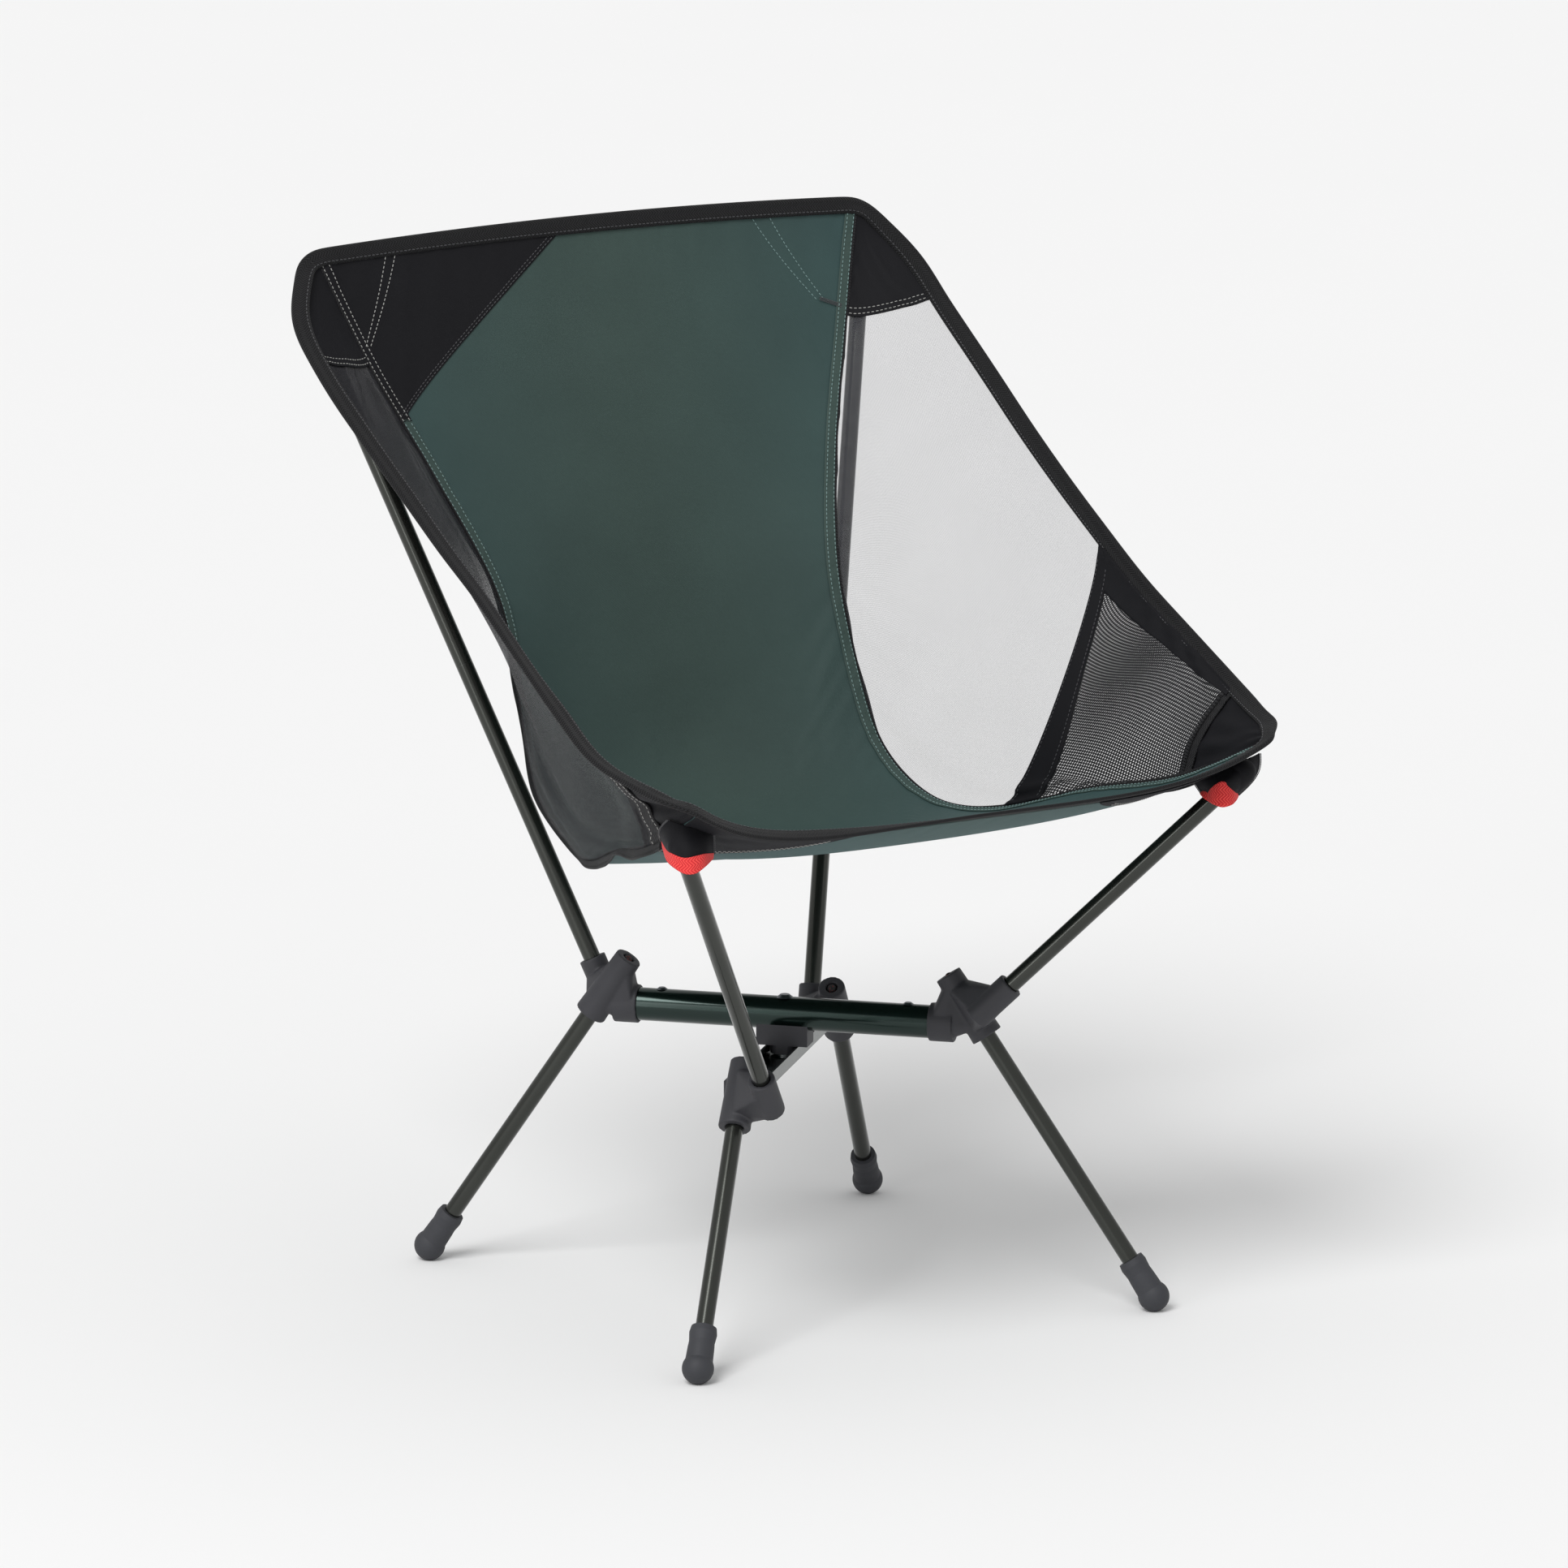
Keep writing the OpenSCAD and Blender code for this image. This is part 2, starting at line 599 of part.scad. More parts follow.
main_tube();
hub_back_left();
hub_front_right();
tube_rivets();
pivot_rivet();
saddle();
thrust_washer();
cross_channel();
hub_front_left();
hub_back_right();
channel_rivets();
leg_back_left();
leg_back_right();
leg_front_left();
leg_front_right();
foot_back_left();
foot_back_right();
foot_front_left();
foot_front_right();
back_pole_lower_left();
back_pole_lower_right();
back_pole_upper_left();
back_pole_upper_right();
ferrule_left();
ferrule_right();
front_pole_left();
front_pole_right();
tip_cap_back_left();
tip_cap_back_right();
tip_cap_front_left();
tip_cap_front_right();
shock_cord_back_left();
shock_cord_back_right();
shock_cord_front_left();
shock_cord_front_right();
seat_panel();
corner_panel();
side_mesh_left();
side_mesh_right();
side_patch_left();
side_patch_right();
front_patch_left();
front_patch_right();
mesh_pocket();
binding_top();
binding_front();
binding_left();
binding_right();
pocket_back_left();
pocket_back_right();
pocket_front_left();
pocket_front_right();
pocket_rim_left();
pocket_rim_right();
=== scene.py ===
import math

import bmesh
import bpy
import numpy as np
from mathutils import Matrix, Vector


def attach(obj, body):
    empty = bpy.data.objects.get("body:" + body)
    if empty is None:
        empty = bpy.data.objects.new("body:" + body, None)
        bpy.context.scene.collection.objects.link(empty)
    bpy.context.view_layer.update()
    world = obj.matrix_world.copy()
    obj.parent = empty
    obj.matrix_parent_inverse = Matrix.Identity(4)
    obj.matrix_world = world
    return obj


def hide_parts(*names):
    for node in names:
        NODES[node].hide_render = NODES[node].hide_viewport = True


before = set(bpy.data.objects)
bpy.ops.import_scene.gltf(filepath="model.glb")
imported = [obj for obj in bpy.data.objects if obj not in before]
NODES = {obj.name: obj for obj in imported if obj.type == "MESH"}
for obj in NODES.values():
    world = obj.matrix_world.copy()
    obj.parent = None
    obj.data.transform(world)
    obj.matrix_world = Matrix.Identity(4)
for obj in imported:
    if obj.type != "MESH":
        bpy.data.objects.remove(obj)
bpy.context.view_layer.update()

# Ultralight folding camp chair: the CAD frame with its finishes, and the sewn sling
# built again as cloth, bindings, seams, stitches and pole pockets.
# Lengths are in metres, and the sling's curves repeat part.scad's, in millimetres.

MM = 0.001
PIVOT = np.array([0, -0.007, 0])


def ramp(a, b, n):
    return np.linspace(a, b, n)


def lattice(a, b):
    """Every pair of values from two lists, as two grids."""
    return np.meshgrid(a, b, indexing="ij")


def new_object(name, data):
    """A new object in the scene."""
    made = bpy.data.objects.new(name, data)
    bpy.context.scene.collection.objects.link(made)
    return made


# ---- Camera ----

AZIMUTH, ELEVATION, ROLL = -31.23, 12.60, 0.19
TARGET_HEIGHT, DISTANCE = 0.33, 7.23
NUDGE_RIGHT, NUDGE_UP = -0.001, 0.003


def camera_axes(azimuth, elevation, roll):
    """The right, up and backward directions of a camera, from its angles in degrees."""
    a, e, r = (math.radians(x) for x in (azimuth, elevation, roll))
    back = np.array([math.sin(a) * math.cos(e), -math.cos(a) * math.cos(e), math.sin(e)])
    right = np.array([math.cos(a), math.sin(a), 0])
    up = np.cross(back, right)
    return (math.cos(r) * right + math.sin(r) * up, math.cos(r) * up - math.sin(r) * right, back)


def place_camera():
    data = bpy.data.cameras.new("camera")
    data.sensor_width, data.lens, data.clip_end = 36, 257.6, 100
    camera = new_object("camera", data)
    right, up, back = camera_axes(AZIMUTH, ELEVATION, ROLL)
    target = PIVOT + [0, 0, TARGET_HEIGHT]
    place = target + back * DISTANCE + right * NUDGE_RIGHT + up * NUDGE_UP
    axes = np.stack([right, up, back], axis=1)
    camera.matrix_world = Matrix.Translation(place) @ Matrix(axes.tolist()).to_4x4()
    bpy.context.scene.camera = camera


place_camera()


# ---- The sling's curves ----

# Points along the right seam, the seat's middle line and the right edge, one for each
# station from 0 at the top to 10 at the front.
SEAM = np.array([
    [205, 250, 657], [180, 221, 585], [151, 185, 513], [129, 147, 444], [128, 122, 380],
    [132, 93, 326], [138, 40, 301], [154, -14, 303], [176, -88, 327], [198, -162, 347],
    [211, -246, 386]]) * MM
MIDDLE = np.array([
    [0, 251, 662], [0, 222, 590], [0, 195, 520], [0, 168, 450], [0, 146, 388],
    [0, 122, 334], [0, 82, 301], [0, 20, 291], [0, -70, 308], [0, -160, 330],
    [0, -236, 358]]) * MM
RIM = np.array([
    [213, 250, 653], [232, 222, 623], [235, 185, 594], [234, 130, 560], [232, 80, 530],
    [231, 35, 504], [230, -10, 480], [231, -60, 452], [233, -110, 428], [234, -165, 404],
    [222, -229, 390]]) * MM
LAST = len(SEAM) - 1
CURL_START, CURL_LENGTH = 7.5, 2.5
SLANT, SLANT_END = 1.5, 9
PULL, FULL_PULL_SPAN = 13 * MM, 0.1


def on_curve(points, s):
    """A smooth curve through the points, at stations s."""
    s = np.asarray(s, float)
    n = len(points) - 1
    k = np.clip(np.floor(s).astype(int), 0, n - 1)
    t = (s - k)[..., None]
    b, c = points[k], points[k + 1]
    a = np.where((k > 0)[..., None], points[np.maximum(k - 1, 0)], 2 * b - c)
    d = np.where((k < n - 1)[..., None], points[np.minimum(k + 2, n)], 2 * c - b)
    return (2 * b + (c - a) * t + (2 * a - 5 * b + 4 * c - d) * t**2
            + (3 * b - a - 3 * c + d) * t**3) / 2


def matched(s, t):
    """Two values as arrays of one shape."""
    return np.broadcast_arrays(np.asarray(s, float), np.asarray(t, float))


def wave(turns):
    return np.sin(math.tau * turns)


def arch(share):
    """0 at both ends and 1 halfway."""
    return np.sin(np.pi * share)


def seat_shape(s, w):
    """The seat panel: station s, and w from -1 at the left seam to 1 at the right. Its
    section is a parabola, which gets flatter in the middle towards the front edge."""
    e, m = on_curve(SEAM, s), on_curve(MIDDLE, s)
    curl = 2 + 3 * (np.maximum(0, s - CURL_START) / CURL_LENGTH) ** 2
    share = (np.abs(w) ** curl)[..., None]
    w = np.asarray(w, float)[..., None]
    return np.concatenate([w * e[..., :1], m[..., 1:] + (e - m)[..., 1:] * share], axis=-1) + PIVOT


def side_shape(s, v):
    """The right side panel: station s, and v from 0 at the seam to 1 at the edge. The rows
    slant, and the panel is pulled in towards the sitter between its seam and its edge."""
    s, v = matched(s, v)
    slant = SLANT * arch(np.minimum(s, SLANT_END) / SLANT_END) ** 2
    e, r = on_curve(SEAM, s - 0.8 * slant * (1 - v)), on_curve(RIM, s + 0.5 * slant * v)
    span = lengths(r - e)
    point = e + (r - e) * v[..., None] + PIVOT
    point[..., 0] -= PULL * arch(v) * np.minimum(1, span / FULL_PULL_SPAN)
    return point


def mirrored(points):
    return points * [-1, 1, 1]


def lengths(v):
    return np.linalg.norm(v, axis=-1)


def unit(v):
    return v / np.maximum(lengths(v)[..., None], 1e-12)


class Panel:
    """A panel of the sling as p(s, t), t from t0 to t1, with how far its cloth simulation
    moved it."""

    def __init__(self, shape, t0, t1, side=1):
        self.shape, self.t0, self.t1, self.side = shape, t0, t1, side
        self.moved = None

    def base(self, s, t):
        s, t = matched(s, t)
        p = self.shape(s, t)
        return mirrored(p) if self.side < 0 else p

    def shift(self, s, t):
        """The simulated movement at s and t, between the simulated points."""
        rows, cols = self.moved.shape[:2]
        a = np.clip(s / LAST * (rows - 1), 0, rows - 1.001)
        b = np.clip((t - self.t0) / (self.t1 - self.t0) * (cols - 1), 0, cols - 1.001)
        i, j = a.astype(int), b.astype(int)
        f, g = (a - i)[..., None], (b - j)[..., None]
        m = self.moved
        return ((m[i, j] * (1 - g) + m[i, j + 1] * g) * (1 - f)
                + (m[i + 1, j] * (1 - g) + m[i + 1, j + 1] * g) * f)

    def surface(self, s, t):
        s, t = matched(s, t)
        p = self.base(s, t)
        return p if self.moved is None else p + self.shift(s, t)

    def normal(self, s, t):
        """The unit normal on the sitter's side."""
        ds, dt = 0.06, 0.02 * (self.t1 - self.t0)
        along = self.surface(s + ds, t) - self.surface(s - ds, t)
        across = self.surface(s, t + dt) - self.surface(s, t - dt)
        return unit(np.cross(along, across)) * self.side

    def at(self, s, t, lift=0.0):
        """Points that lie lift above the panel, on the sitter's side."""
        s, t = matched(s, t)
        return self.surface(s, t) + self.normal(s, t) * np.asarray(lift)[..., None]

    def grid(self, s_values, t_values, lift=0.0):
        s, t = lattice(s_values, t_values)
        return self.at(s, t, lift)


# ---- Meshes ----

def add_piece(name, verts, faces, finish, cloth=None, smooth=True):
    """A mesh object that rides on the sling. Its finish is a material and a slot name, which is
    not used, and cloth is each point's place on the cut cloth."""
    material, slot = finish
    mesh = bpy.data.meshes.new(name)
    mesh.from_pydata(np.asarray(verts).tolist(), [], [list(f) for f in faces])
    if cloth is not None:
        attribute = mesh.attributes.new("cloth", "FLOAT_VECTOR", "POINT")
        attribute.data.foreach_set("vector", np.asarray(cloth, np.float32).ravel())
    mesh.polygons.foreach_set("use_smooth", [smooth] * len(mesh.polygons))
    mesh.materials.append(material)
    mesh.validate()
    piece = new_object(name, mesh)
    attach(piece, "sling")
    return piece


def grid_faces(rows, cols, first=0, flip=False):
    """The quads of a grid of points whose first point has that index."""
    i, j = lattice(np.arange(rows - 1), np.arange(cols - 1))
    a = first + (i * cols + j).ravel()
    quads = np.stack([a, a + 1, a + cols + 1, a + cols], axis=1)
    return quads[:, ::-1] if flip else quads


def cloth_places(points):
    """Places on the flat cloth of a grid of points: across from the middle, and along."""
    across = lengths(np.diff(points, axis=1))
    u = np.concatenate([np.zeros((len(points), 1)), np.cumsum(across, axis=1)], axis=1)
    u -= u[:, -1:] / 2
    steps = lengths(np.diff(points, axis=0)).mean(axis=1)
    v = np.concatenate([[0], np.cumsum(steps)])[:, None] + 0 * u
    return np.stack([u, v, 0 * u], axis=-1)


def add_sheet(name, points, thick, finish, stands_for=None):
    """A closed thin sheet around a grid of points, which hides the CAD part that it stands for if
    one is given.
    """
    rows, cols = points.shape[:2]
    count = rows * cols
    normal = unit(np.cross(np.gradient(points, axis=0), np.gradient(points, axis=1)))
    out = normal * (thick / 2)
    verts = np.concatenate([(points + out).reshape(-1, 3), (points - out).reshape(-1, 3)])
    index = np.arange(count).reshape(rows, cols)
    edge = np.concatenate([index[0, :], index[1:, -1], index[-1, -2::-1], index[-2:0:-1, 0]])
    after = np.roll(edge, -1)
    rim = np.stack([edge, after, after + count, edge + count], axis=1)
    faces = np.concatenate([grid_faces(rows, cols, 0, True), grid_faces(rows, cols, count), rim])
    place = cloth_places(points).reshape(-1, 3)
    piece = add_piece(name, verts, faces, finish, cloth=np.concatenate([place, place]))
    if stands_for:
        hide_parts(stands_for)


def distances(points):
    """How far along a line each of its points lies."""
    return np.concatenate([[0], np.cumsum(lengths(np.diff(points, axis=0)))])


def sweep_mesh(path, side, up, profile):
    """A closed bar swept along a path. Each profile point is (along side, along up)."""
    rings = (path[:, None] + side[:, None] * profile[None, :, :1]
             + up[:, None] * profile[None, :, 1:])
    rows, cols = rings.shape[:2]
    i, j = lattice(np.arange(rows - 1), np.arange(cols))
    a, b = (i * cols + j).ravel(), (i * cols + (j + 1) % cols).ravel()
    faces = [tuple(f) for f in np.stack([a, b, b + cols, a + cols], axis=1)]
    faces += [tuple(range(cols - 1, -1, -1)), tuple(range((rows - 1) * cols, rows * cols))]
    places = np.stack(np.broadcast_arrays(distances(profile)[None], distances(path)[:, None],
                                          0.0), axis=-1)
    return rings.reshape(-1, 3), faces, places.reshape(-1, 3)


def evenly(path, step):
    """Fractional indices of points about step apart along a line of points."""
    along = distances(path)
    count = max(2, int(round(along[-1] / step)) + 1)
    return np.interp(ramp(0, along[-1], count), along, np.arange(len(path)))


def pick(values, at):
    """Values between those of a list, at fractional indices."""
    k = np.arange(len(values))
    return np.stack([np.interp(at, k, values[:, c]) for c in range(values.shape[1])], axis=1)


STITCH_LENGTH, STITCH_STEP, STITCH_RADIUS = 1.9 * MM, 3.0 * MM, 0.3 * MM


class Stitches:
    """Rows of stitches, kept until they are made as one mesh."""

    def __init__(self, name, material):
        self.name, self.material, self.rows = name, material, []

    def row(self, path, normal, step=STITCH_STEP):
        """Stitches along a path of points that has a normal at each point."""
        at = evenly(path, step)
        middle = (at[:-1] + at[1:]) / 2
        along = unit(pick(path, np.minimum(middle + 0.3, len(path) - 1))
                     - pick(path, np.maximum(middle - 0.3, 0)))
        self.rows.append((pick(path, middle), along, unit(pick(normal, middle))))

    def on(self, panel, s, t, lift, step=STITCH_STEP):
        self.row(panel.at(s, t, lift), panel.normal(s, t), step)

    def build(self):
        """Every stitch is a six-sided barrel with tapered ends, lying on the cloth."""
        ring = [math.tau * k / 6 for k in range(6)]
        barrel = [(-0.5, 0.45), (-0.3, 1), (0.3, 1), (0.5, 0.45)]
        local = np.array([[x * STITCH_LENGTH, r * STITCH_RADIUS * math.cos(a),
                           r * STITCH_RADIUS * math.sin(a)] for x, r in barrel for a in ring])
        quads = [(k * 6 + j, k * 6 + (j + 1) % 6, k * 6 + 6 + (j + 1) % 6, k * 6 + 6 + j)
                 for k in range(3) for j in range(6)]
        caps = [tuple(range(5, -1, -1)), tuple(range(18, 24))]
        centre, along, normal = (np.concatenate(x) for x in zip(*self.rows))
        across = unit(np.cross(normal, along))
        lift = np.cross(along, across)
        axes = np.stack([along, across, lift], axis=1)
        verts = centre[:, None] + np.einsum("vk,nkc->nvc", local, axes)
        faces = [tuple(i + len(local) * n for i in f) for n in range(len(centre))
                 for f in quads + caps]
        add_piece(self.name, verts.reshape(-1, 3), faces, (self.material, "webbing"))


# ---- Materials ----

class Finish:
    """A Principled material that is built up from procedural nodes."""

    def __init__(self, name, colour, roughness, **sockets):
        self.material = bpy.data.materials.new(name)
        self.material.use_nodes = True
        self.tree = self.material.node_tree
        self.shader = self.tree.nodes["Principled BSDF"]
        self.set("Base Color", (*colour, 1))
        self.set("Roughness", roughness)
        for socket, value in sockets.items():
            self.set(socket.replace("_", " "), value)

    def feed(self, inlet, value):
        """Links a node's inlet to another node's socket, or gives it a value."""
        if isinstance(value, bpy.types.NodeSocket):
            self.tree.links.new(value, inlet)
        else:
            inlet.default_value = value

    def set(self, socket, value):
        self.feed(self.shader.inputs[socket], value)

    def node(self, kind, inputs=(), **settings):
        made = self.tree.nodes.new("ShaderNode" + kind)
        for key, value in settings.items():
            setattr(made, key, value)
        for key, value in dict(inputs).items():
            self.feed(made.inputs[key], value)
        return made

    def calc(self, operation, *values, clamp=False):
        return self.node("Math", enumerate(values), operation=operation,
                         use_clamp=clamp).outputs[0]

    def place(self):
        """A point's place on the cut cloth, as (across, along)."""
        cloth = self.node("Attribute", attribute_name="cloth")
        split = self.node("SeparateXYZ", {"Vector": cloth.outputs["Vector"]})
        return split.outputs["X"], split.outputs["Y"]

    def noise(self, size, detail=3.0):
        """Noise in the object's own space, with features about that many metres across."""
        where = self.node("TexCoord").outputs["Object"]
        return self.node("TexNoise", {"Vector": where, "Scale": 1 / size,
                                      "Detail": detail}).outputs["Fac"]

    def mix(self, factor, a, b):
        a, b = (x if isinstance(x, bpy.types.NodeSocket) else (*x, 1) for x in (a, b))
        return self.node("MixRGB", {"Fac": factor, "Color1": a, "Color2": b}).outputs[0]

    def bump(self, height, depth, strength=1.0):
        made = self.node("Bump", {"Height": height, "Distance": depth, "Strength": strength})
        self.set("Normal", made.outputs[0])

    def wave(self, value, pitch):
        """From 0 to 1 and back once in each pitch."""
        turns = self.calc("MULTIPLY", value, math.tau / pitch)
        return self.calc("MULTIPLY_ADD", self.calc("SINE", turns), 0.5, 0.5)


def colour(code):
    """A linear colour from a screen colour such as 3c4a46, by the sRGB formula."""
    parts = [int(code[k:k + 2], 16) / 255 for k in (0, 2, 4)]
    return tuple(c / 12.92 if c < 0.04045 else ((c + 0.055) / 1.055) ** 2.4 for c in parts)


def scaled(base, factor):
    return tuple(c * factor for c in base)


def twill(name, dark, light, roughness, pitch=0.9 * MM, tint=None, sheen=0.18):
    """Woven fabric: a fine diagonal twill with slubs, cloudy patches and a faint sheen."""
    f = Finish(name, dark, roughness, Sheen_Weight=sheen, Sheen_Roughness=0.4,
               Specular_IOR_Level=0.1 + sheen)
    u, v = f.place()
    diagonal = f.wave(f.calc("ADD", u, v), pitch)
    thread = f.wave(f.calc("SUBTRACT", u, v), pitch * 2.1)
    height = f.calc("MULTIPLY_ADD", thread, 0.5, diagonal)
    cloudy, slub = f.noise(0.06, 2), f.noise(0.0015, 2)
    share = f.calc("MULTIPLY_ADD", diagonal, 0.25, f.calc("MULTIPLY", slub, 0.35))
    share = f.calc("ADD", share, f.calc("MULTIPLY", cloudy, 0.4))
    f.set("Base Color", f.mix(share, dark, light))
    if tint:
        f.set("Sheen Tint", (*tint, 1))
    f.set("Roughness", f.calc("MULTIPLY_ADD", slub, 0.15, roughness - 0.07))
    f.bump(height, 0.12 * MM, 0.5)
    return f


def herringbone(name, dark, light):
    """Binding tape: columns of diagonal ribs that lean left and right in turn."""
    column_width, rib_pitch = 3 * MM, 2 * MM
    f = Finish(name, dark, 0.75, Sheen_Weight=0.06, Specular_IOR_Level=0.22)
    u, v = f.place()
    lean = f.calc("PINGPONG", f.calc("DIVIDE", u, column_width), 1)
    rib = f.wave(f.calc("MULTIPLY_ADD", lean, column_width, v), rib_pitch)
    slub = f.noise(0.002, 2)
    f.set("Base Color", f.mix(f.calc("MULTIPLY", rib, f.calc("ADD", slub, 0.3)), dark, light))
    f.bump(rib, 0.35 * MM, 0.9)
    return f.material


def seat_cloth():
    """The seat's twill, greener in the middle, with a painted bluish sheen in its colour towards
    its sides.
    """
    painted_sheen_full_at = 0.2
    f = twill("seat_cloth", colour("283733"), colour("41544f"), 0.62)
    u, _ = f.place()
    # Painted sheen: a bluer colour is mixed in towards the sides, where the curved seat shows a
    # bluish reflection.
    away = f.calc("MULTIPLY", f.calc("ABSOLUTE", u), 1 / painted_sheen_full_at, clamp=True)
    painted_sheen_blue = f.mix(f.noise(0.08, 2), colour("2b4041"), colour("37504f"))
    base = f.shader.inputs["Base Color"].links[0].from_socket
    f.set("Base Color", f.mix(f.calc("POWER", away, 1.6), base, painted_sheen_blue))
    f.set("Sheen Tint", (*colour("7fb4bd"), 1))
    return f.material


def fine_mesh(name, thread, solid, upper_cover=0.0):
    """Fine see-through mesh, whose threads run both ways and cover about the solid share
    of it. From 0.43 m up the cover grows by up to a further share, which darkens a dark mesh
    upwards."""
    pitch = 0.8 * MM
    f = Finish(name, thread, 0.6, Specular_IOR_Level=0.3)
    u, v = f.place()
    threads = f.calc("MAXIMUM", f.wave(u, pitch), f.wave(v, pitch))
    cover = f.calc("MULTIPLY_ADD", f.calc("POWER", threads, 6.0), solid * 1.1, solid * 0.5)
    cover = f.calc("MULTIPLY_ADD", f.noise(0.05, 3), solid * 0.2, cover)
    where = f.node("SeparateXYZ", {"Vector": f.node("TexCoord").outputs["Object"]})
    # The cover grows from 0.43 m up, so a dark thread makes the mesh darker towards its top.
    rise = f.calc("MULTIPLY_ADD", where.outputs["Z"], 14.0, -6.0, clamp=True)
    f.set("Alpha", f.calc("MULTIPLY_ADD", rise, upper_cover, cover, clamp=True))
    return f.material


def moulded(name, base, roughness, grain=0.5 * MM):
    """Moulded plastic or rubber with a fine spark-eroded texture."""
    f = Finish(name, base, roughness, Specular_IOR_Level=0.35)
    fine, broad = f.noise(grain, 2), f.noise(0.02, 3)
    f.set("Base Color", f.mix(f.calc("MULTIPLY_ADD", broad, 0.7, 0.15), scaled(base, 0.72),
                              scaled(base, 1.3)))
    f.set("Roughness", f.calc("MULTIPLY_ADD", broad, 0.2, roughness - 0.1))
    f.bump(fine, 0.06 * MM, 0.5)
    return f.material


def anodised(name, base, roughness):
    """Anodised tube: satin metal with a slightly uneven dye under a clear seal."""
    f = Finish(name, base, roughness, Metallic=0.85, Coat_Weight=0.4, Coat_Roughness=0.12)
    dye, smear = f.noise(0.05, 3), f.noise(0.012, 2)
    f.set("Base Color", f.mix(dye, scaled(base, 0.75), scaled(base, 1.25)))
    f.set("Roughness", f.calc("MULTIPLY_ADD", smear, 0.08, roughness - 0.04))
    return f.material


def bare_metal(name, base, roughness):
    """Bare metal with fine scratches."""
    f = Finish(name, base, roughness, Metallic=1.0)
    scratches = f.noise(0.001, 4)
    f.set("Roughness", f.calc("MULTIPLY_ADD", scratches, 0.25, roughness - 0.1))
    f.set("Base Color", f.mix(scratches, scaled(base, 0.8), base))
    return f.material


def thread(name, base):
    """Twisted sewing thread."""
    f = Finish(name, base, 0.7, Sheen_Weight=0.3)
    twist = f.noise(0.0006, 1)
    f.set("Base Color", f.mix(twist, scaled(base, 0.7), base))
    f.bump(twist, 0.1 * MM, 0.6)
    return f.material


def elastic(name, base, fleck):
    """Braided elastic cord with flecks."""
    f = Finish(name, base, 0.75)
    weave = f.noise(0.0012, 1)
    f.set("Base Color", f.mix(f.calc("GREATER_THAN", weave, 0.58), base, fleck))
    f.bump(weave, 0.2 * MM, 0.6)
    return f.material


GREEN_THREAD = thread("thread_green", colour("7d9b99"))
PALE_THREAD = thread("thread_pale", colour("aeaeaa"))
DARK_THREAD = thread("thread_dark", colour("3c3c40"))
SEAT_CLOTH = (seat_cloth(), "green_fabric")
BLACK_CLOTH = (twill("black_cloth", colour("0b0b0d"), colour("1c1c20"), 0.66, 0.7 * MM,
                     colour("9a9aa6"), 0.05).material, "black_fabric")
TAPE = (herringbone("binding_tape", colour("050506"), colour("232325")), "webbing")
SEAM_TAPE = (herringbone("seam_tape", colour("08080a"), colour("29292b")), "webbing")
RED_TAPE = (herringbone("red_tape", colour("c8262c"), colour("ff5a54")), "red_webbing")
# Both sides are the same grey mesh: the left copy's much darker thread is painted shade, and its
# denser cover stands in for seeing it edge-on.
SIDE_MESHES = {"right": fine_mesh("side_mesh_right", colour("6a6a70"), 0.17),
               "left": fine_mesh("side_mesh_left", colour("232327"), 0.5, 0.42)}
NET = (twill("net_yarn", colour("141416"), colour("2a2a2d"), 0.7, 0.6 * MM).material,
       "coarse_mesh")
HUB_NYLON = moulded("hub_nylon", colour("37373b"), 0.55)
CAP_PLASTIC = moulded("cap_plastic", colour("1c1c1e"), 0.45)
RUBBER = moulded("foot_rubber", colour("37383c"), 0.62, 0.7 * MM)
GREEN_TUBE = anodised("anodised_green", colour("1d2d29"), 0.2)
POLE = anodised("anodised_pole", colour("383a36"), 0.24)
BARE = bare_metal("bare_aluminium", colour("c4c7c9"), 0.3)
STEEL = bare_metal("rivet_steel", colour("6f7377"), 0.32)
CORD = elastic("cord_elastic", colour("1c1c1e"), colour("5a2422"))

FINISHES = {
    "hub_": HUB_NYLON, "saddle": HUB_NYLON, "foot_": RUBBER, "tip_cap": CAP_PLASTIC,
    "main_tube": GREEN_TUBE, "cross_channel": GREEN_TUBE, "leg_": POLE, "back_pole": POLE,
    "front_pole": POLE, "ferrule": BARE, "thrust_washer": BARE, "tube_rivets": STEEL,
    "channel_rivets": STEEL, "pivot_rivet": STEEL, "shock_cord": CORD}


def finish_cad():
    """Gives each CAD node its finish, and softens the moulded hubs' edges."""
    for name, node in NODES.items():
        for start, material in FINISHES.items():
            if name.startswith(start):
                for place in node.material_slots:
                    place.material = material
        if name.startswith("hub_"):
            remesh = node.modifiers.new("moulded", "REMESH")
            remesh.mode, remesh.voxel_size, remesh.use_smooth_shade = "VOXEL", 0.7 * MM, True
            smooth = node.modifiers.new("softened", "SMOOTH")
            smooth.factor, smooth.iterations = 0.5, 4


finish_cad()


# ---- Cloth simulation ----

SEAT = Panel(seat_shape, -1, 1)
RIGHT = Panel(side_shape, 0, 1)
LEFT = Panel(side_shape, 0, 1, side=-1)
SIDES = {"left": LEFT, "right": RIGHT}
SIM_FRAMES = 22


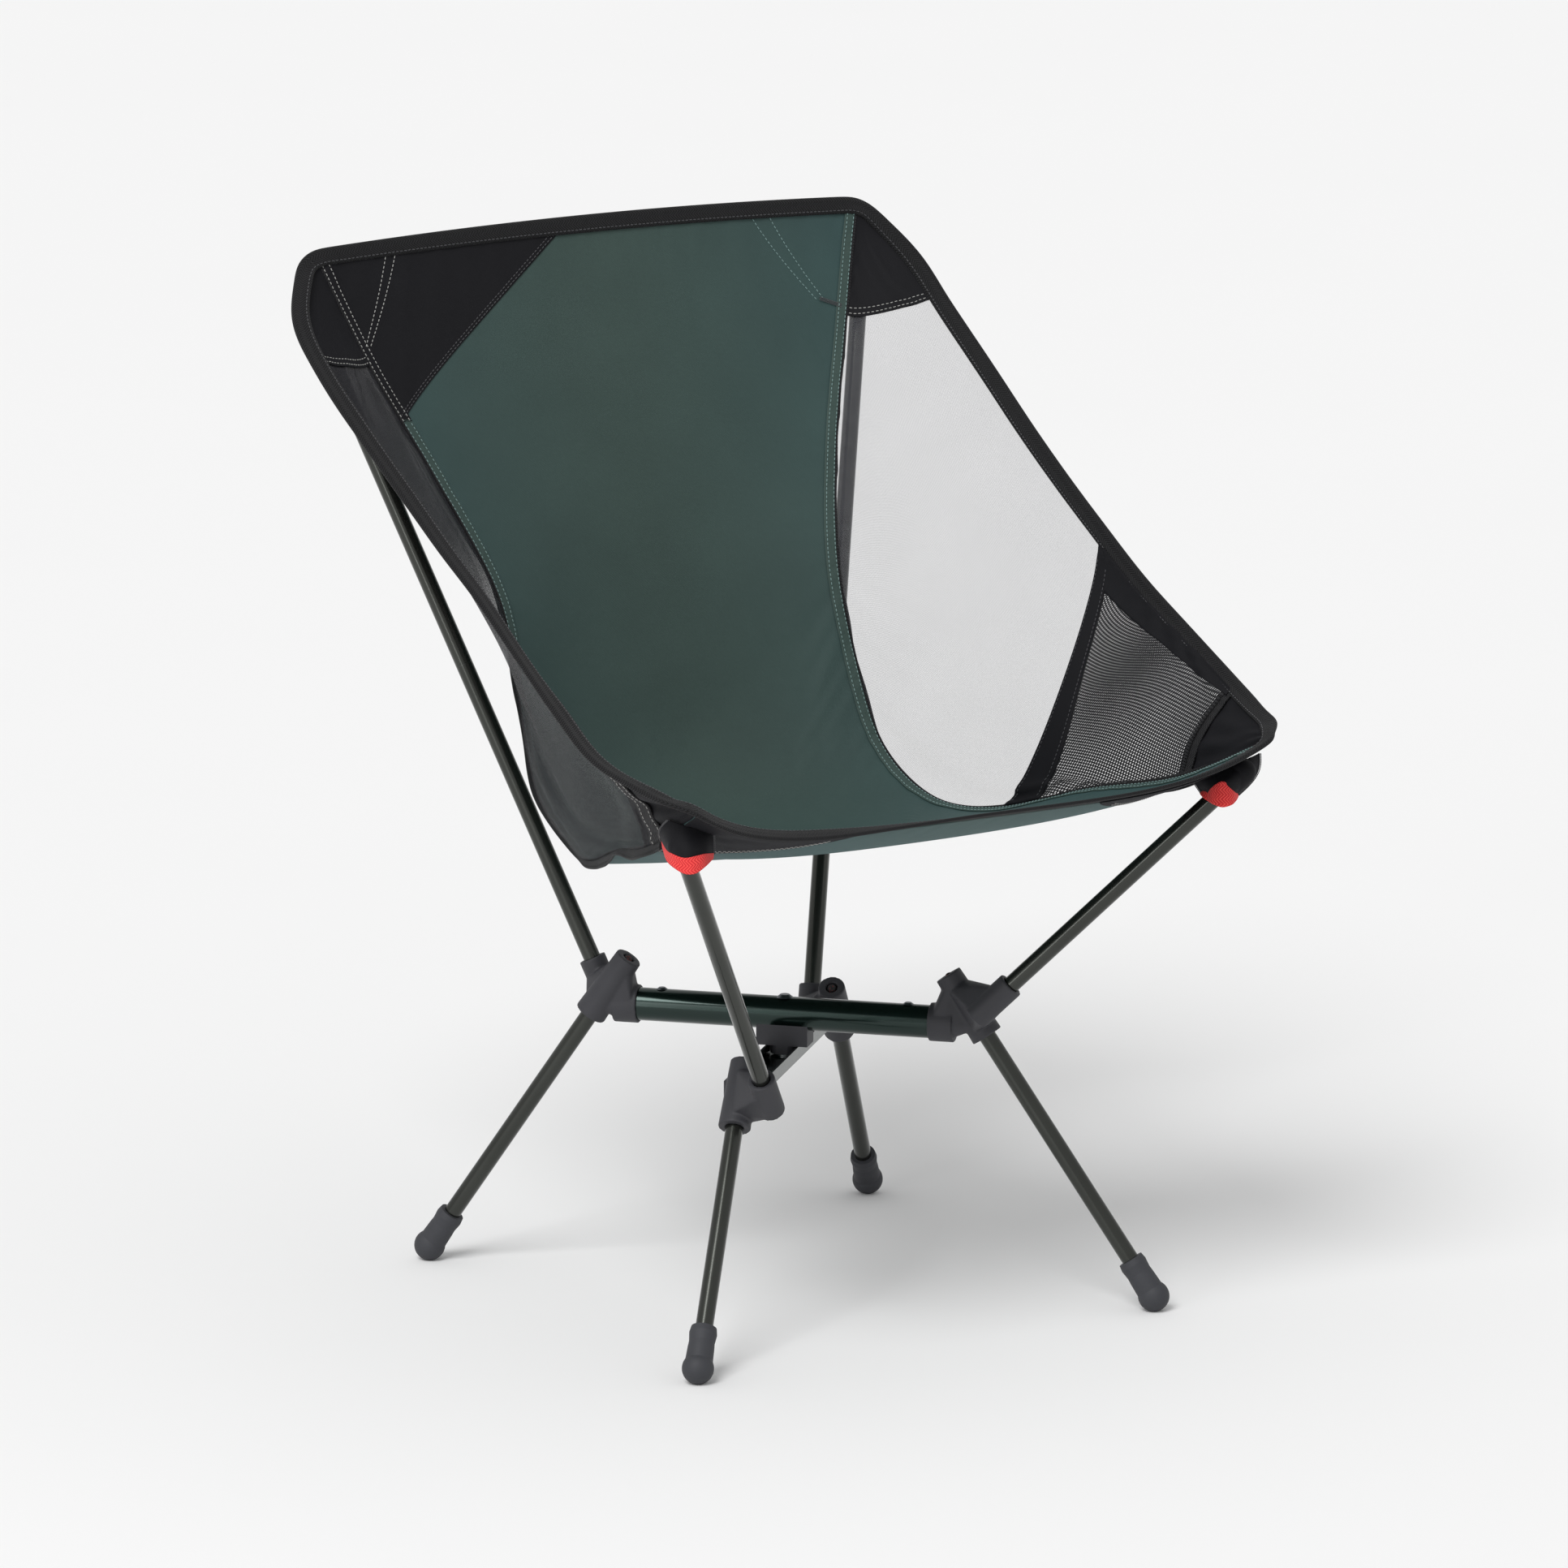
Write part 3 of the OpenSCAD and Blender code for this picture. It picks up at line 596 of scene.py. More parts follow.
def hang(start, slack, gravity):
    """Where a grid of points settles as cloth that is pinned round its border and a
    little larger than its frame."""
    rows, cols = start.shape[:2]
    mesh = bpy.data.meshes.new("hanging")
    mesh.from_pydata(start.reshape(-1, 3).tolist(), [], grid_faces(rows, cols).tolist())
    cloth = new_object("hanging", mesh)
    index = np.arange(rows * cols).reshape(rows, cols)
    border = {*index[0], *index[-1], *index[:, 0], *index[:, -1]}
    cloth.vertex_groups.new(name="stitched").add([int(i) for i in border], 1, "REPLACE")
    modifier = cloth.modifiers.new("cloth", "CLOTH")
    settings = modifier.settings
    settings.quality, settings.mass, settings.air_damping = 6, 0.1, 2
    settings.tension_stiffness = settings.compression_stiffness = 20
    settings.shear_stiffness, settings.bending_stiffness = 4, 0.3
    settings.vertex_group_mass = "stitched"
    settings.shrink_min = -slack
    settings.effector_weights.gravity = gravity
    modifier.collision_settings.use_collision = False
    for frame_number in range(1, SIM_FRAMES + 1):
        bpy.context.scene.frame_set(frame_number)
    settled = cloth.evaluated_get(bpy.context.evaluated_depsgraph_get())
    points = np.zeros(rows * cols * 3, np.float32)
    settled.data.vertices.foreach_get("co", points)
    bpy.data.objects.remove(cloth)
    bpy.data.meshes.remove(mesh)
    bpy.context.scene.frame_set(1)
    return points.reshape(rows, cols, 3).astype(float)


def settle(panel, rows, cols, slack, gravity, cap, folds):
    """Simulates a panel that starts with those folds and is held along its seams. A point
    moves no further than about cap."""
    s, t = lattice(ramp(0, LAST, rows), ramp(panel.t0, panel.t1, cols))
    start = panel.base(s, t)
    inner = arch(s / LAST) ** 0.5 * arch((t - panel.t0) / (panel.t1 - panel.t0))
    loose = start + panel.normal(s, t) * (folds(s, t) * inner)[..., None]
    moved = hang(loose, slack, gravity) - start
    far = np.maximum(lengths(moved)[..., None], 1e-9)
    moved *= cap * np.tanh(far / cap) / far
    panel.moved = moved


def side_folds(s, v):
    """Slack that runs from the edge down to the seam, most of it low at the back."""
    low = np.exp(-((s - 5.2) / 1.9) ** 2)
    narrow = 1.6 * MM * low * wave(1.15 * s + 0.35 * v)
    wide = 0.7 * MM * wave(0.55 * s - 0.6 * v)
    return narrow + wide


def long_folds(s, v):
    """Soft folds that run down the left panel between its edge and its low seam."""
    low = np.clip((s - 3.5) / 1.5, 0, 1)
    return 2.4 * MM * low * wave(2.3 * v + 0.1 * s) + 0.4 * side_folds(s, v)


def seat_folds(s, w):
    """Faint waves across the seat where it turns up from the hips to the back."""
    turn = np.exp(-((s - 5) / 2.2) ** 2)
    along = 0.8 * MM * turn * wave(0.9 * w + 0.13 * s)
    slanted = 0.4 * MM * wave(0.8 * s + 0.7 * w)
    return along + slanted


settle(SEAT, 110, 61, 0.002, 0.3, 3.0 * MM, seat_folds)
settle(RIGHT, 110, 31, 0.008, 1.0, 4.0 * MM, side_folds)
settle(LEFT, 110, 31, 0.004, 0.6, 3.5 * MM, long_folds)


# ---- Sling panels ----

def patch_hem(v):
    """The station where a side panel's solid patch ends."""
    return 1.12 + 0.33 * v + 0.12 * v**2


def between(panel, first, last, rows, t_values, lift):
    """A grid of a panel whose first and last stations are functions of t."""
    share, t = lattice(ramp(0, 1, rows), t_values)
    return panel.at(first(t) + (last(t) - first(t)) * share, t, lift)


def steady(value):
    return lambda t: value + 0 * t


def from_seam(s, metres, side):
    """The w on the seat that lies that far in from a seam at station s."""
    return side * (1 - metres / np.abs(on_curve(SEAM, s)[..., 0]))


CLOTH, FOLDED, MESH_CLOTH = 0.6 * MM, 0.7 * MM, 0.35 * MM
TOP, FRONT = 0.03, 9.97              # the stations where the panels go under the binding
CONTRAST_END = 1.455
BAND = 8 * MM
SEAM_ROWS = (1.3 * MM, 6.2 * MM)
green = Stitches("stitches_green", GREEN_THREAD)
pale = Stitches("stitches_pale", PALE_THREAD)
dark = Stitches("stitches_dark", DARK_THREAD)
beneath = Stitches("stitches_under", PALE_THREAD)


def seat_panel():
    add_sheet("seat_cloth", SEAT.grid(ramp(TOP, FRONT, 260), ramp(-1, 1, 120), -0.9 * MM),
              CLOTH, SEAT_CLOTH,
              stands_for="seat_panel")


def contrast_edge(s):
    """How far across the seat the contrast panel's edge lies at station s."""
    return -0.09 - 0.5 * s - 0.086 * s**2


def contrast_panel():
    """The black panel in the top left corner of the back, with two rows of stitches."""
    s = ramp(TOP, CONTRAST_END - 0.01, 70)[:, None]
    w = -1 + (contrast_edge(s) + 1) * ramp(0, 1, 60)[None]
    add_sheet("contrast_panel", SEAT.at(s + 0 * w, w, -0.3 * MM), CLOTH, BLACK_CLOTH,
              stands_for="corner_panel")
    line = ramp(0.06, CONTRAST_END - 0.05, 90)
    for inset in (0.012, 0.03):
        dark.on(SEAT, line, contrast_edge(line) - inset, 0.15 * MM)


def seam_band(name, side, first, last, finish):
    """A folded band along one of the seat's seams, slightly puckered."""
    s = ramp(first, last, int((last - first) * 70))[:, None]
    inset = ramp(0.2 * MM, BAND, 7)[None]
    pucker = 0.1 * MM * wave(s * 8) * wave(inset / BAND)
    add_sheet(name, SEAT.at(s + 0 * inset, from_seam(s, inset, side), pucker - 0.1 * MM),
              FOLDED, finish)


def seam_bands():
    """The bands along both seams, black where they cross the contrast panel."""
    end = FRONT - 0.02
    seam_band("seam_band_right", 1, TOP, end, SEAT_CLOTH)
    seam_band("seam_band_left", -1, CONTRAST_END - 0.02, end, SEAT_CLOTH)
    seam_band("seam_band_corner", -1, TOP, CONTRAST_END, BLACK_CLOTH)
    line = ramp(0.06, 9.92, 900)
    lower, upper = line[line > CONTRAST_END], line[line < CONTRAST_END]
    for inset in SEAM_ROWS:
        green.on(SEAT, line, from_seam(line, inset, 1), 0.4 * MM)
        green.on(SEAT, lower, from_seam(lower, inset, -1), 0.4 * MM)
        pale.on(SEAT, upper, from_seam(upper, inset, -1), 0.4 * MM)


# The stitches that hold each top corner's pole pocket, their lift, and the w where each
# row starts at the top and where it ends.
POCKET_ROWS = {-1: (pale, 0.2 * MM, ((0.76, 0.975), (0.725, 0.955))),
               1: (green, -0.4 * MM, ((0.61, 0.875), (0.675, 0.905)))}


def pocket_stitching():
    """Two curved rows in each top corner, and a bar tack where the right ones end."""
    share = ramp(0, 1, 60)
    for side, (stitches, lift, rows) in POCKET_ROWS.items():
        for start, end in rows:
            w = start + (end - start) * (0.75 * share + 0.25 * share**2)
            stitches.on(SEAT, 0.07 + 0.73 * share, side * w, lift)
    tack = ramp(0, 1, 30)
    for row in (-0.012, 0, 0.012):
        dark.on(SEAT, 0.79 + 0.07 * tack + row, 0.885 + 0.09 * tack, 0.35 * MM, 1.2 * MM)


def side_panels(name, panel):
    """The mesh, the solid top patch and its hem on one side."""
    v = ramp(0, 1, 46)
    add_sheet("mesh_cloth_" + name,
              between(panel, lambda t: patch_hem(t) - 0.1, steady(9.02), 190, v, -0.6 * MM),
              MESH_CLOTH, (SIDE_MESHES[name], "fine_mesh"),
              stands_for="side_mesh_" + name)
    add_sheet("patch_cloth_" + name,
              between(panel, steady(0.02), patch_hem, 50, v, -0.2 * MM), CLOTH, BLACK_CLOTH,
              stands_for="side_patch_" + name)
    add_sheet("patch_hem_" + name,
              between(panel, lambda t: patch_hem(t) - 0.11, lambda t: patch_hem(t) + 0.01,
                      8, v, 0.35 * MM), CLOTH, BLACK_CLOTH)
    line = ramp(0.03, 0.94, 200)
    for back in (0.025, 0.09):
        for lift in (0.75 * MM, -0.75 * MM):
            pale.on(panel, patch_hem(line) - back, line, lift)


CORNER_START = 8.93                  # the station where the front corners' patches start
UNDER_START, UNDER_REACH, UNDER_END = 0.42, 1.05, 9.99


def under_edge(w):
    """The station of the rear edge of the patches under the seat's front corners."""
    share = np.clip((np.abs(w) - UNDER_START) / (1 - UNDER_START), 0, 1)
    return UNDER_END - UNDER_REACH * share ** 0.8


def wrinkles(s, v, seed):
    """The sum of waves at random places and slants across a front corner."""
    rng = np.random.default_rng(seed)
    total = np.zeros_like(s)
    for _ in range(7):
        turn, size = rng.uniform(-0.5, 0.5), rng.uniform(1.2, 3.2)
        phase, at = rng.uniform(0, math.tau), rng.uniform(9.1, 9.8)
        ripple = np.sin(math.tau * size * (v + turn * (s - 9)) + phase)
        total += ripple * np.exp(-((s - at) / 0.35) ** 2)
    return total


def front_patches(name, panel, side):
    """The wrinkled reinforcement of a front corner, on the side panel and under the seat."""
    s, v = lattice(ramp(CORNER_START, FRONT, 60), ramp(0, 1, 50))
    inner = arch(v) * np.clip((s - CORNER_START) * 4, 0, 1)
    depth = 0.5 * MM * wrinkles(s, v, 11 if side < 0 else 12) * inner
    add_sheet("corner_cloth_" + name, panel.at(s, v, -0.3 * MM + depth), 0.8 * MM, BLACK_CLOTH,
              stands_for="front_patch_" + name)
    w = ramp(UNDER_START, 1.0, 60)
    add_sheet("corner_under_" + name,
              between(SEAT, under_edge, steady(UNDER_END), 26, side * w, -1.6 * MM), CLOTH,
              BLACK_CLOTH)
    line = ramp(0.5, 0.97, 160)
    for inset in (0.05, 0.1):
        beneath.on(SEAT, np.minimum(under_edge(line) + inset, FRONT), side * line, -2.0 * MM)


seat_panel()
contrast_panel()
seam_bands()
pocket_stitching()
for name, panel in SIDES.items():
    side_panels(name, panel)
    front_patches(name, panel, panel.side)


# ---- Bindings: one tape that runs round the whole edge of the sling ----

TAPE_WIDTH, TAPE_THICK = 12 * MM, 3.2 * MM
CORNER_TILT, LEFT_TILT = 40, 45      # in degrees, at the front left corner and behind it
RING_STEP = 1.5 * MM


def edge_run(panel, s, t, inward_s, inward_t, tilt=0):
    """Points along part of the sling's edge, with normals and inward directions. The tape
    is turned about the edge by tilt degrees, so that its outer half hangs down."""
    p = panel.surface(s, t)
    inward = unit(panel.surface(s + 0.05 * inward_s, t + 0.03 * inward_t) - p)
    normal = panel.normal(s, t)
    a = np.radians(tilt + 0 * p[..., :1])
    return p, normal * np.cos(a) - inward * np.sin(a), inward * np.cos(a) + normal * np.sin(a)


def smoothed(values, radius):
    """Values along a closed run, averaged under a bell curve of that many points."""
    k = np.arange(-3 * radius, 3 * radius + 1)
    weight = np.exp(-(k / radius) ** 2 / 2)
    weight /= weight.sum()
    rolled = [np.roll(values, -i, axis=0) * w for i, w in zip(k, weight)]
    return np.sum(rolled, axis=0)


def edge_ring():
    """The edge from the top left corner round by the top right and the front, as evenly
    spaced points with normals and inward directions, and where each later run starts."""
    zero = ramp(0, 0, 40)
    front_tilt = CORNER_TILT * np.clip((ramp(-1, 1, 200) - 0.05) / 0.5, 0, 1)
    runs = [
        edge_run(SEAT, ramp(0, 0, 200), ramp(-1, 1, 200), 1, 0),
        edge_run(RIGHT, zero, ramp(0, 1, 40), 1, 0),
        edge_run(RIGHT, ramp(0, 10, 400), ramp(1, 1, 400), 0, -1),
        edge_run(RIGHT, zero + 10, ramp(1, 0, 40), -1, 0),
        edge_run(SEAT, ramp(10, 10, 200), ramp(1, -1, 200), -1, 0, front_tilt[:, None]),
        edge_run(LEFT, zero + 10, ramp(0, 1, 40), -1, 0, CORNER_TILT),
        edge_run(LEFT, ramp(10, 0, 400), ramp(1, 1, 400), 0, -1, LEFT_TILT),
        edge_run(LEFT, zero, ramp(1, 0, 40), 1, 0)]
    starts = np.cumsum([0] + [len(r[0]) for r in runs])
    points, normals, inwards = (np.concatenate(x) for x in zip(*runs))
    at = evenly(points, RING_STEP)
    ring = [smoothed(pick(x, at), radius)
            for x, radius in ((points, 4), (normals, 8), (inwards, 8))]
    return ring, [int(np.argmin(np.abs(at - start))) for start in starts[1:-1]]


(ring_p, ring_n, ring_in), ring_places = edge_ring()
ring_n = unit(ring_n)
ring_in = unit(ring_in - ring_n * (ring_in * ring_n).sum(axis=1, keepdims=True))
front_start, front_end = ring_places[3:5]
front_share = (np.arange(len(ring_p)) - front_start) / (front_end - front_start)
# How large the tape's section is: smaller along the middle of the front edge.
ring_size = 1 - 0.3 * np.exp(-((front_share - 0.42) / 0.3) ** 6)


def tape_profile(width, thick):
    """A folded tape's section, rounded at both edges."""
    a, b = width / 2, thick / 2
    turn = np.radians(np.arange(-75, 76, 30))
    right = np.stack([a - b + b * np.cos(turn), b * np.sin(turn)], axis=1)
    across_top = np.stack([ramp(a - b, b - a, 6)[1:-1], ramp(b, b, 6)[1:-1]], axis=1)
    return np.concatenate([right, across_top, -right, -across_top])


def tape_along(name, first, last):
    """The tape from one place on the ring to another, with stitches on both faces."""
    index = np.arange(first, last + 1) % len(ring_p)
    centre, inward, normal = ring_p[index], ring_in[index], ring_n[index]
    size = ring_size[index, None]
    verts, faces, places = sweep_mesh(centre, inward * size, normal * size,
                                      tape_profile(TAPE_WIDTH, TAPE_THICK))
    piece = add_piece("tape_" + name, verts, faces, TAPE, cloth=places)
    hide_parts("binding_" + name)
    for face in (1, -1):
        lift = (TAPE_THICK / 2 * size + 0.1 * MM) * face
        dark.row(centre + inward * 4 * MM * size + normal * lift, normal * face)


# The tapes meet halfway round each corner, the first of which is the top right one.
run_ends = [*ring_places, len(ring_p)]
corners = [(a + b) // 2 for a, b in zip(run_ends[::2], run_ends[1::2])]
starts = [corners[-1] - len(ring_p), *corners]
for name, first, last in zip(("top", "right", "front", "left"), starts, corners):
    tape_along(name, first, last)


# ---- The storage pocket: coarse net with a slanted hem ----

NET_PITCH, NET_THICK, NET_OPEN = 2.5 * MM, 0.5 * MM, 0.58
NET_TOP, NET_END = 5.3, 9.03


def pocket_hem(v):
    """The station of the pocket's hem."""
    return 7.57 - 0.2 * v - 1.75 * v**3


def hexagons(rows, cols, r, inside):
    """A flat net of open hexagons with radius r, where inside(x, y) is true: its points
    and the four-sided faces round each hole."""
    corner = np.radians(np.arange(6) * 60 + 30)
    ring = np.stack([np.cos(corner), np.sin(corner)], axis=1)
    shared, flat, faces = {}, [], []

    def vertex(x, y):
        """The index of a corner that neighbouring hexagons share."""
        key = (round(x / r * 8), round(y / r * 8))
        if key not in shared:
            shared[key] = len(flat)
            flat.append((x, y))
        return shared[key]

    for row in range(rows):
        y = row * r * 1.5
        for col in range(cols):
            x = (col + 0.5 * (row % 2)) * r * math.sqrt(3)
            if inside(x, y):
                outer = [vertex(x + r * a, y + r * b) for a, b in ring]
                inner = range(len(flat), len(flat) + 6)
                flat += [(x + NET_OPEN * r * a, y + NET_OPEN * r * b) for a, b in ring]
                faces += [(outer[k], outer[(k + 1) % 6], inner[(k + 1) % 6], inner[k])
                          for k in range(6)]
    return np.array(flat), faces


def pocket_net():
    """The net on the sitter's side of the right side panel."""
    s_fine = ramp(5.2, 9.1, 300)
    along = distances(RIGHT.surface(s_fine, 0.5))
    width = lengths(RIGHT.surface(s_fine, 1) - RIGHT.surface(s_fine, 0))
    start, stop = np.interp([NET_TOP, NET_END], s_fine, along)

    def on_panel(x, y):
        s = np.interp(start + y, along, s_fine)
        return s, x / np.interp(s, s_fine, width)

    def inside(x, y):
        s, v = on_panel(x, y)
        return 0.008 < v < 0.985 and s >= pocket_hem(v) + 0.03

    rows = int((stop - start) / (NET_PITCH * 0.75)) + 1
    cols = int(width.max() / (NET_PITCH * 0.866)) + 2
    flat, faces = hexagons(rows, cols, NET_PITCH / 2, inside)
    s, v = on_panel(*flat.T)
    v = np.clip(v, 0.002, 0.995)
    fall = np.clip((s - pocket_hem(v)) * 1.5, 0, 1) * arch(v)
    lift = 1.6 * MM + 1.5 * MM * fall
    n = len(flat)
    edges = dict.fromkeys((a, b) for f in faces for a, b in zip(f, f[1:] + f[:1]))
    walls = [(b, a, a + n, b + n) for a, b in edges if (b, a) not in edges]
    solid = faces + [tuple(i + n for i in f[::-1]) for f in faces] + walls
    verts = np.concatenate([RIGHT.at(s, v, lift + NET_THICK / 2),
                            RIGHT.at(s, v, lift - NET_THICK / 2)])
    places = np.tile(np.concatenate([flat, np.zeros((n, 1))], axis=1), (2, 1))
    net = add_piece("pocket_net", verts, solid, NET, smooth=False, cloth=places)
    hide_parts("mesh_pocket")


def pocket_trim():
    """The stitched hem along the net's top, and the tapes along its side and its end."""
    v = ramp(0.002, 0.98, 60)
    add_sheet("pocket_hem", between(RIGHT, lambda t: pocket_hem(t) - 0.15,
                                    lambda t: pocket_hem(t) + 0.14, 12, v, 1.9 * MM),
              1.4 * MM, BLACK_CLOTH)
    line = ramp(0.02, 0.95, 200)
    for back in (-0.12, 0.1):
        dark.on(RIGHT, pocket_hem(line) + back, line, 2.8 * MM)
    add_sheet("pocket_side", between(RIGHT, pocket_hem, steady(9.05), 110, ramp(0.9, 0.985, 12),
                                     2.0 * MM), 1.2 * MM, BLACK_CLOTH)
    add_sheet("pocket_edge", RIGHT.grid(ramp(8.95, 9.1, 12), ramp(0, 1, 60), 1.2 * MM),
              0.8 * MM, SEAM_TAPE)


pocket_net()
pocket_trim()


# ---- Pole pockets ----

BACK_TIP = np.array([214, 255, 637]) * MM + PIVOT
FRONT_TIP = np.array([208, -218.5, 359.5]) * MM + PIVOT
CLEAR = 8.2 * MM                     # from a pole's axis to the cloth over its tip cap


def pole_axis(node):
    """The upward direction of a straight tube, from its mesh."""
    verts = np.array([v.co for v in NODES[node].data.vertices])
    _, _, main = np.linalg.svd(verts - verts.mean(axis=0), full_matrices=False)
    return main[0] * np.sign(main[0][2])


def sided(points, side):
    """Points of the right side, or their mirror images for the left."""
    return points if side > 0 else mirrored(points)


def push_clear(points, tip, axis, radius):
    """Moves points out of a round-ended rod that ends at the tip."""
    below = np.minimum((points - tip) @ axis, 0)
    nearest = tip + below[..., None] * axis
    away = points - nearest
    far = lengths(away)[..., None]
    return nearest + away * np.maximum(radius / np.maximum(far, 1e-6), 1)


def blend_along(points, share):
    """A smooth curve through some points, at shares of it from 0 to 1."""
    return on_curve(np.asarray(points), np.asarray(share) * (len(points) - 1))


# Each front pouch's edges, in millimetres from the pole's tip along CUP_AXES, which point
# across, up and out as the camera sees them: where it is sewn on at the top, where its
# cloth ends, where its red rim ends, and how far its two ends swell sideways.
CUP_AXES = np.stack(camera_axes(-31.2, 12.6, 0))
CUPS = {
    "left": {
        "top": [(-8, 16, 1.5), (0, 13.5, 5), (6, 11.5, 4.5), (13, 9, -1.5), (20, 7, -7)],
        "low": [(-12, 2.5, -22), (-8, -4.8, -3), (-4, -8.2, 6), (2.5, -10.8, 10),
                (9, -10, 10), (15, -7.5, 4), (20, -5.5, -14)],
        "rim": [(-11.5, -0.5, -22), (-8.5, -9, -3), (-4, -13.5, 6), (2.5, -17.2, 10),
                (9, -17, 10), (15, -12.5, 4), (19.8, -7.5, -14)],
        "swell": (-3, 0)},
    "right": {
        "top": [(-32, -5, -4), (-20, -1, 1), (-6, 4.5, 2), (4, 9, -1), (11, 12, -8)],
        "low": [(-24, -16, -12), (-21.3, -14, 2), (-17.5, -12.4, 8), (-13.3, -11.8, 10),
                (-8.4, -12.8, 8), (-5, -14, 2), (-2.8, -15, -12)],
        "rim": [(-24.2, -16.6, -12), (-21.8, -18.6, 2), (-18.2, -20.9, 8),
                (-13.3, -22.5, 10), (-8, -21.1, 8), (-5, -18.6, 2), (-2.6, -15.6, -12)],
        "swell": (0, 5)}}


def front_pouch(name, side):
    """The pouch under a front corner that takes a pole's tip, with its red rim."""
    tip, axis = sided(FRONT_TIP, side), sided(pole_axis("front_pole_right"), side)
    shape = CUPS[name]

    def place(local):
        return push_clear(tip + (local * MM) @ CUP_AXES, tip, axis, CLEAR)

    u, v = lattice(ramp(0, 1, 60), ramp(0, 1, 36))
    top, low = blend_along(shape["top"], u), blend_along(shape["low"], u)
    local = top + (low - top) * v[..., None]
    first, last = shape["swell"]
    local[..., 0] += arch(v) * (first * (1 - u) ** 2 + last * u**2)
    swell = arch(u) ** 0.8 * arch(np.minimum(0.62 * v + 0.05, 0.5))
    crease = wave(1.6 * u + 0.7 * v) * arch(v) * arch(u)
    local[..., 2] += 4.5 * swell * (1 - v**3) + 0.5 * crease
    pouch = place(local)
    add_sheet("cup_" + name, pouch, FOLDED, BLACK_CLOTH,
              stands_for="pocket_front_" + name)
    u, v = lattice(ramp(0.01, 0.99, 80), ramp(-0.55, 1, 16))
    low, end = blend_along(shape["low"], u), blend_along(shape["rim"], u)
    rim = place(low + (end - low) * v[..., None] + [0, 0, 1.2])
    add_sheet("cup_rim_" + name, rim, 1.2 * MM, RED_TAPE,
              stands_for="pocket_rim_" + name)
    for column in (0, -1):
        for shift in (-0.8, 0, 0.8):
            moved = pouch[column] + (CUP_AXES[2] * 0.7 + CUP_AXES[0] * shift) * MM
            dark.row(moved, np.broadcast_to(CUP_AXES[2], moved.shape), 1.6 * MM)


def lift_over(points, outward, tip, axis, radius):
    """How far outward each point moves to pass over a round-ended rod, to where a line
    outward from it leaves the rod's side or the ball at its end."""
    w = points - tip
    flat_w = w - (w @ axis)[..., None] * axis
    flat_out = outward - (outward @ axis) * axis
    a, b = flat_out @ flat_out, flat_w @ flat_out
    inside = b * b - a * ((flat_w * flat_w).sum(axis=-1) - radius**2)
    past = (np.sqrt(np.maximum(inside, 0)) - b) / a
    beside = (w + past[..., None] * outward) @ axis < 0
    over_rod = np.where((inside > 0) & beside, past, 0)
    b = w @ outward
    inside = b * b - (w * w).sum(axis=-1) + radius**2
    over_end = np.where(inside > 0, np.sqrt(np.maximum(inside, 0)) - b, 0)
    return np.maximum(np.maximum(over_rod, over_end), 0)


SLEEVE_ON_SEAT = 0.62                # the share of a sleeve's width that lies on the seat
SLEEVE_TOP, SLEEVE_LENGTH = 0.05, 0.52
SLEEVE_ROUNDS = 500


def back_sleeve(name, side):
    """The sleeve behind a top corner, stretched over a pole's tip and open at the bottom. c
    goes across it and d down, and its lift settles like a soap film's over the pole."""
    axis = pole_axis("back_pole_upper_right")
    c, d = lattice(ramp(0, 1, 56), ramp(0, 1, 44))
    seat_w = 0.74 + 0.2 * d
    seat_part = np.clip(c / SLEEVE_ON_SEAT, 0, 1)
    side_part = np.clip((c - SLEEVE_ON_SEAT) / (1 - SLEEVE_ON_SEAT), 0, 1)
    s = SLEEVE_TOP + SLEEVE_LENGTH * d
    on_seat = SEAT.at(s, seat_w + (1 - seat_w) * seat_part, -1.6 * MM)
    on_side = RIGHT.at(s, (0.86 - 0.5 * d) * side_part, -1.6 * MM)
    base = np.where((c < SLEEVE_ON_SEAT)[..., None], on_seat, on_side)
    outward = -unit(SEAT.normal(0.4, 0.95) + RIGHT.normal(0.4, 0.3))
    need = lift_over(base, outward, BACK_TIP, axis, CLEAR)
    lift = need.copy()
    for _ in range(SLEEVE_ROUNDS):
        inner = lift[:-2, 1:-1] + lift[2:, 1:-1] + lift[1:-1, :-2] + lift[1:-1, 2:]
        mouth = lift[:-2, -1] + lift[2:, -1] + lift[1:-1, -2]
        lift[1:-1, 1:-1] = inner / 4
        lift[1:-1, -1] = mouth / 3
        lift = np.maximum(lift, need)
        lift[0], lift[-1], lift[:, 0] = 0, 0, 0
    points = base + outward * lift[..., None]
    add_sheet("sleeve_" + name, sided(points, side), FOLDED, BLACK_CLOTH,
              stands_for="pocket_back_" + name)
    for path in (points[2], points[-3], points[3:-3, -3]):
        dark.row(sided(path + outward * 0.6 * MM, side),
                 np.broadcast_to(sided(outward, side), path.shape))


for name, panel in SIDES.items():
    front_pouch(name, panel.side)
    back_sleeve(name, panel.side)


# ---- Outside tapes ----

TAPE_START, TAPE_SLANT = 9.08, 0.06


def corner_tape(name, panel):
    """The taped seam between a side mesh and its front corner."""
    s, v = lattice(ramp(TAPE_START, TAPE_START + 0.24, 9), ramp(0, 0.97, 60))
    add_sheet("corner_tape_" + name, panel.at(s + TAPE_SLANT * (1 - v), v, -1.5 * MM),
              0.9 * MM, SEAM_TAPE)
    line = ramp(0.02, 0.95, 200)
    for offset in (0.045, 0.2):
        pale.on(panel, TAPE_START + TAPE_SLANT * (1 - line) + offset, line, -2.1 * MM)


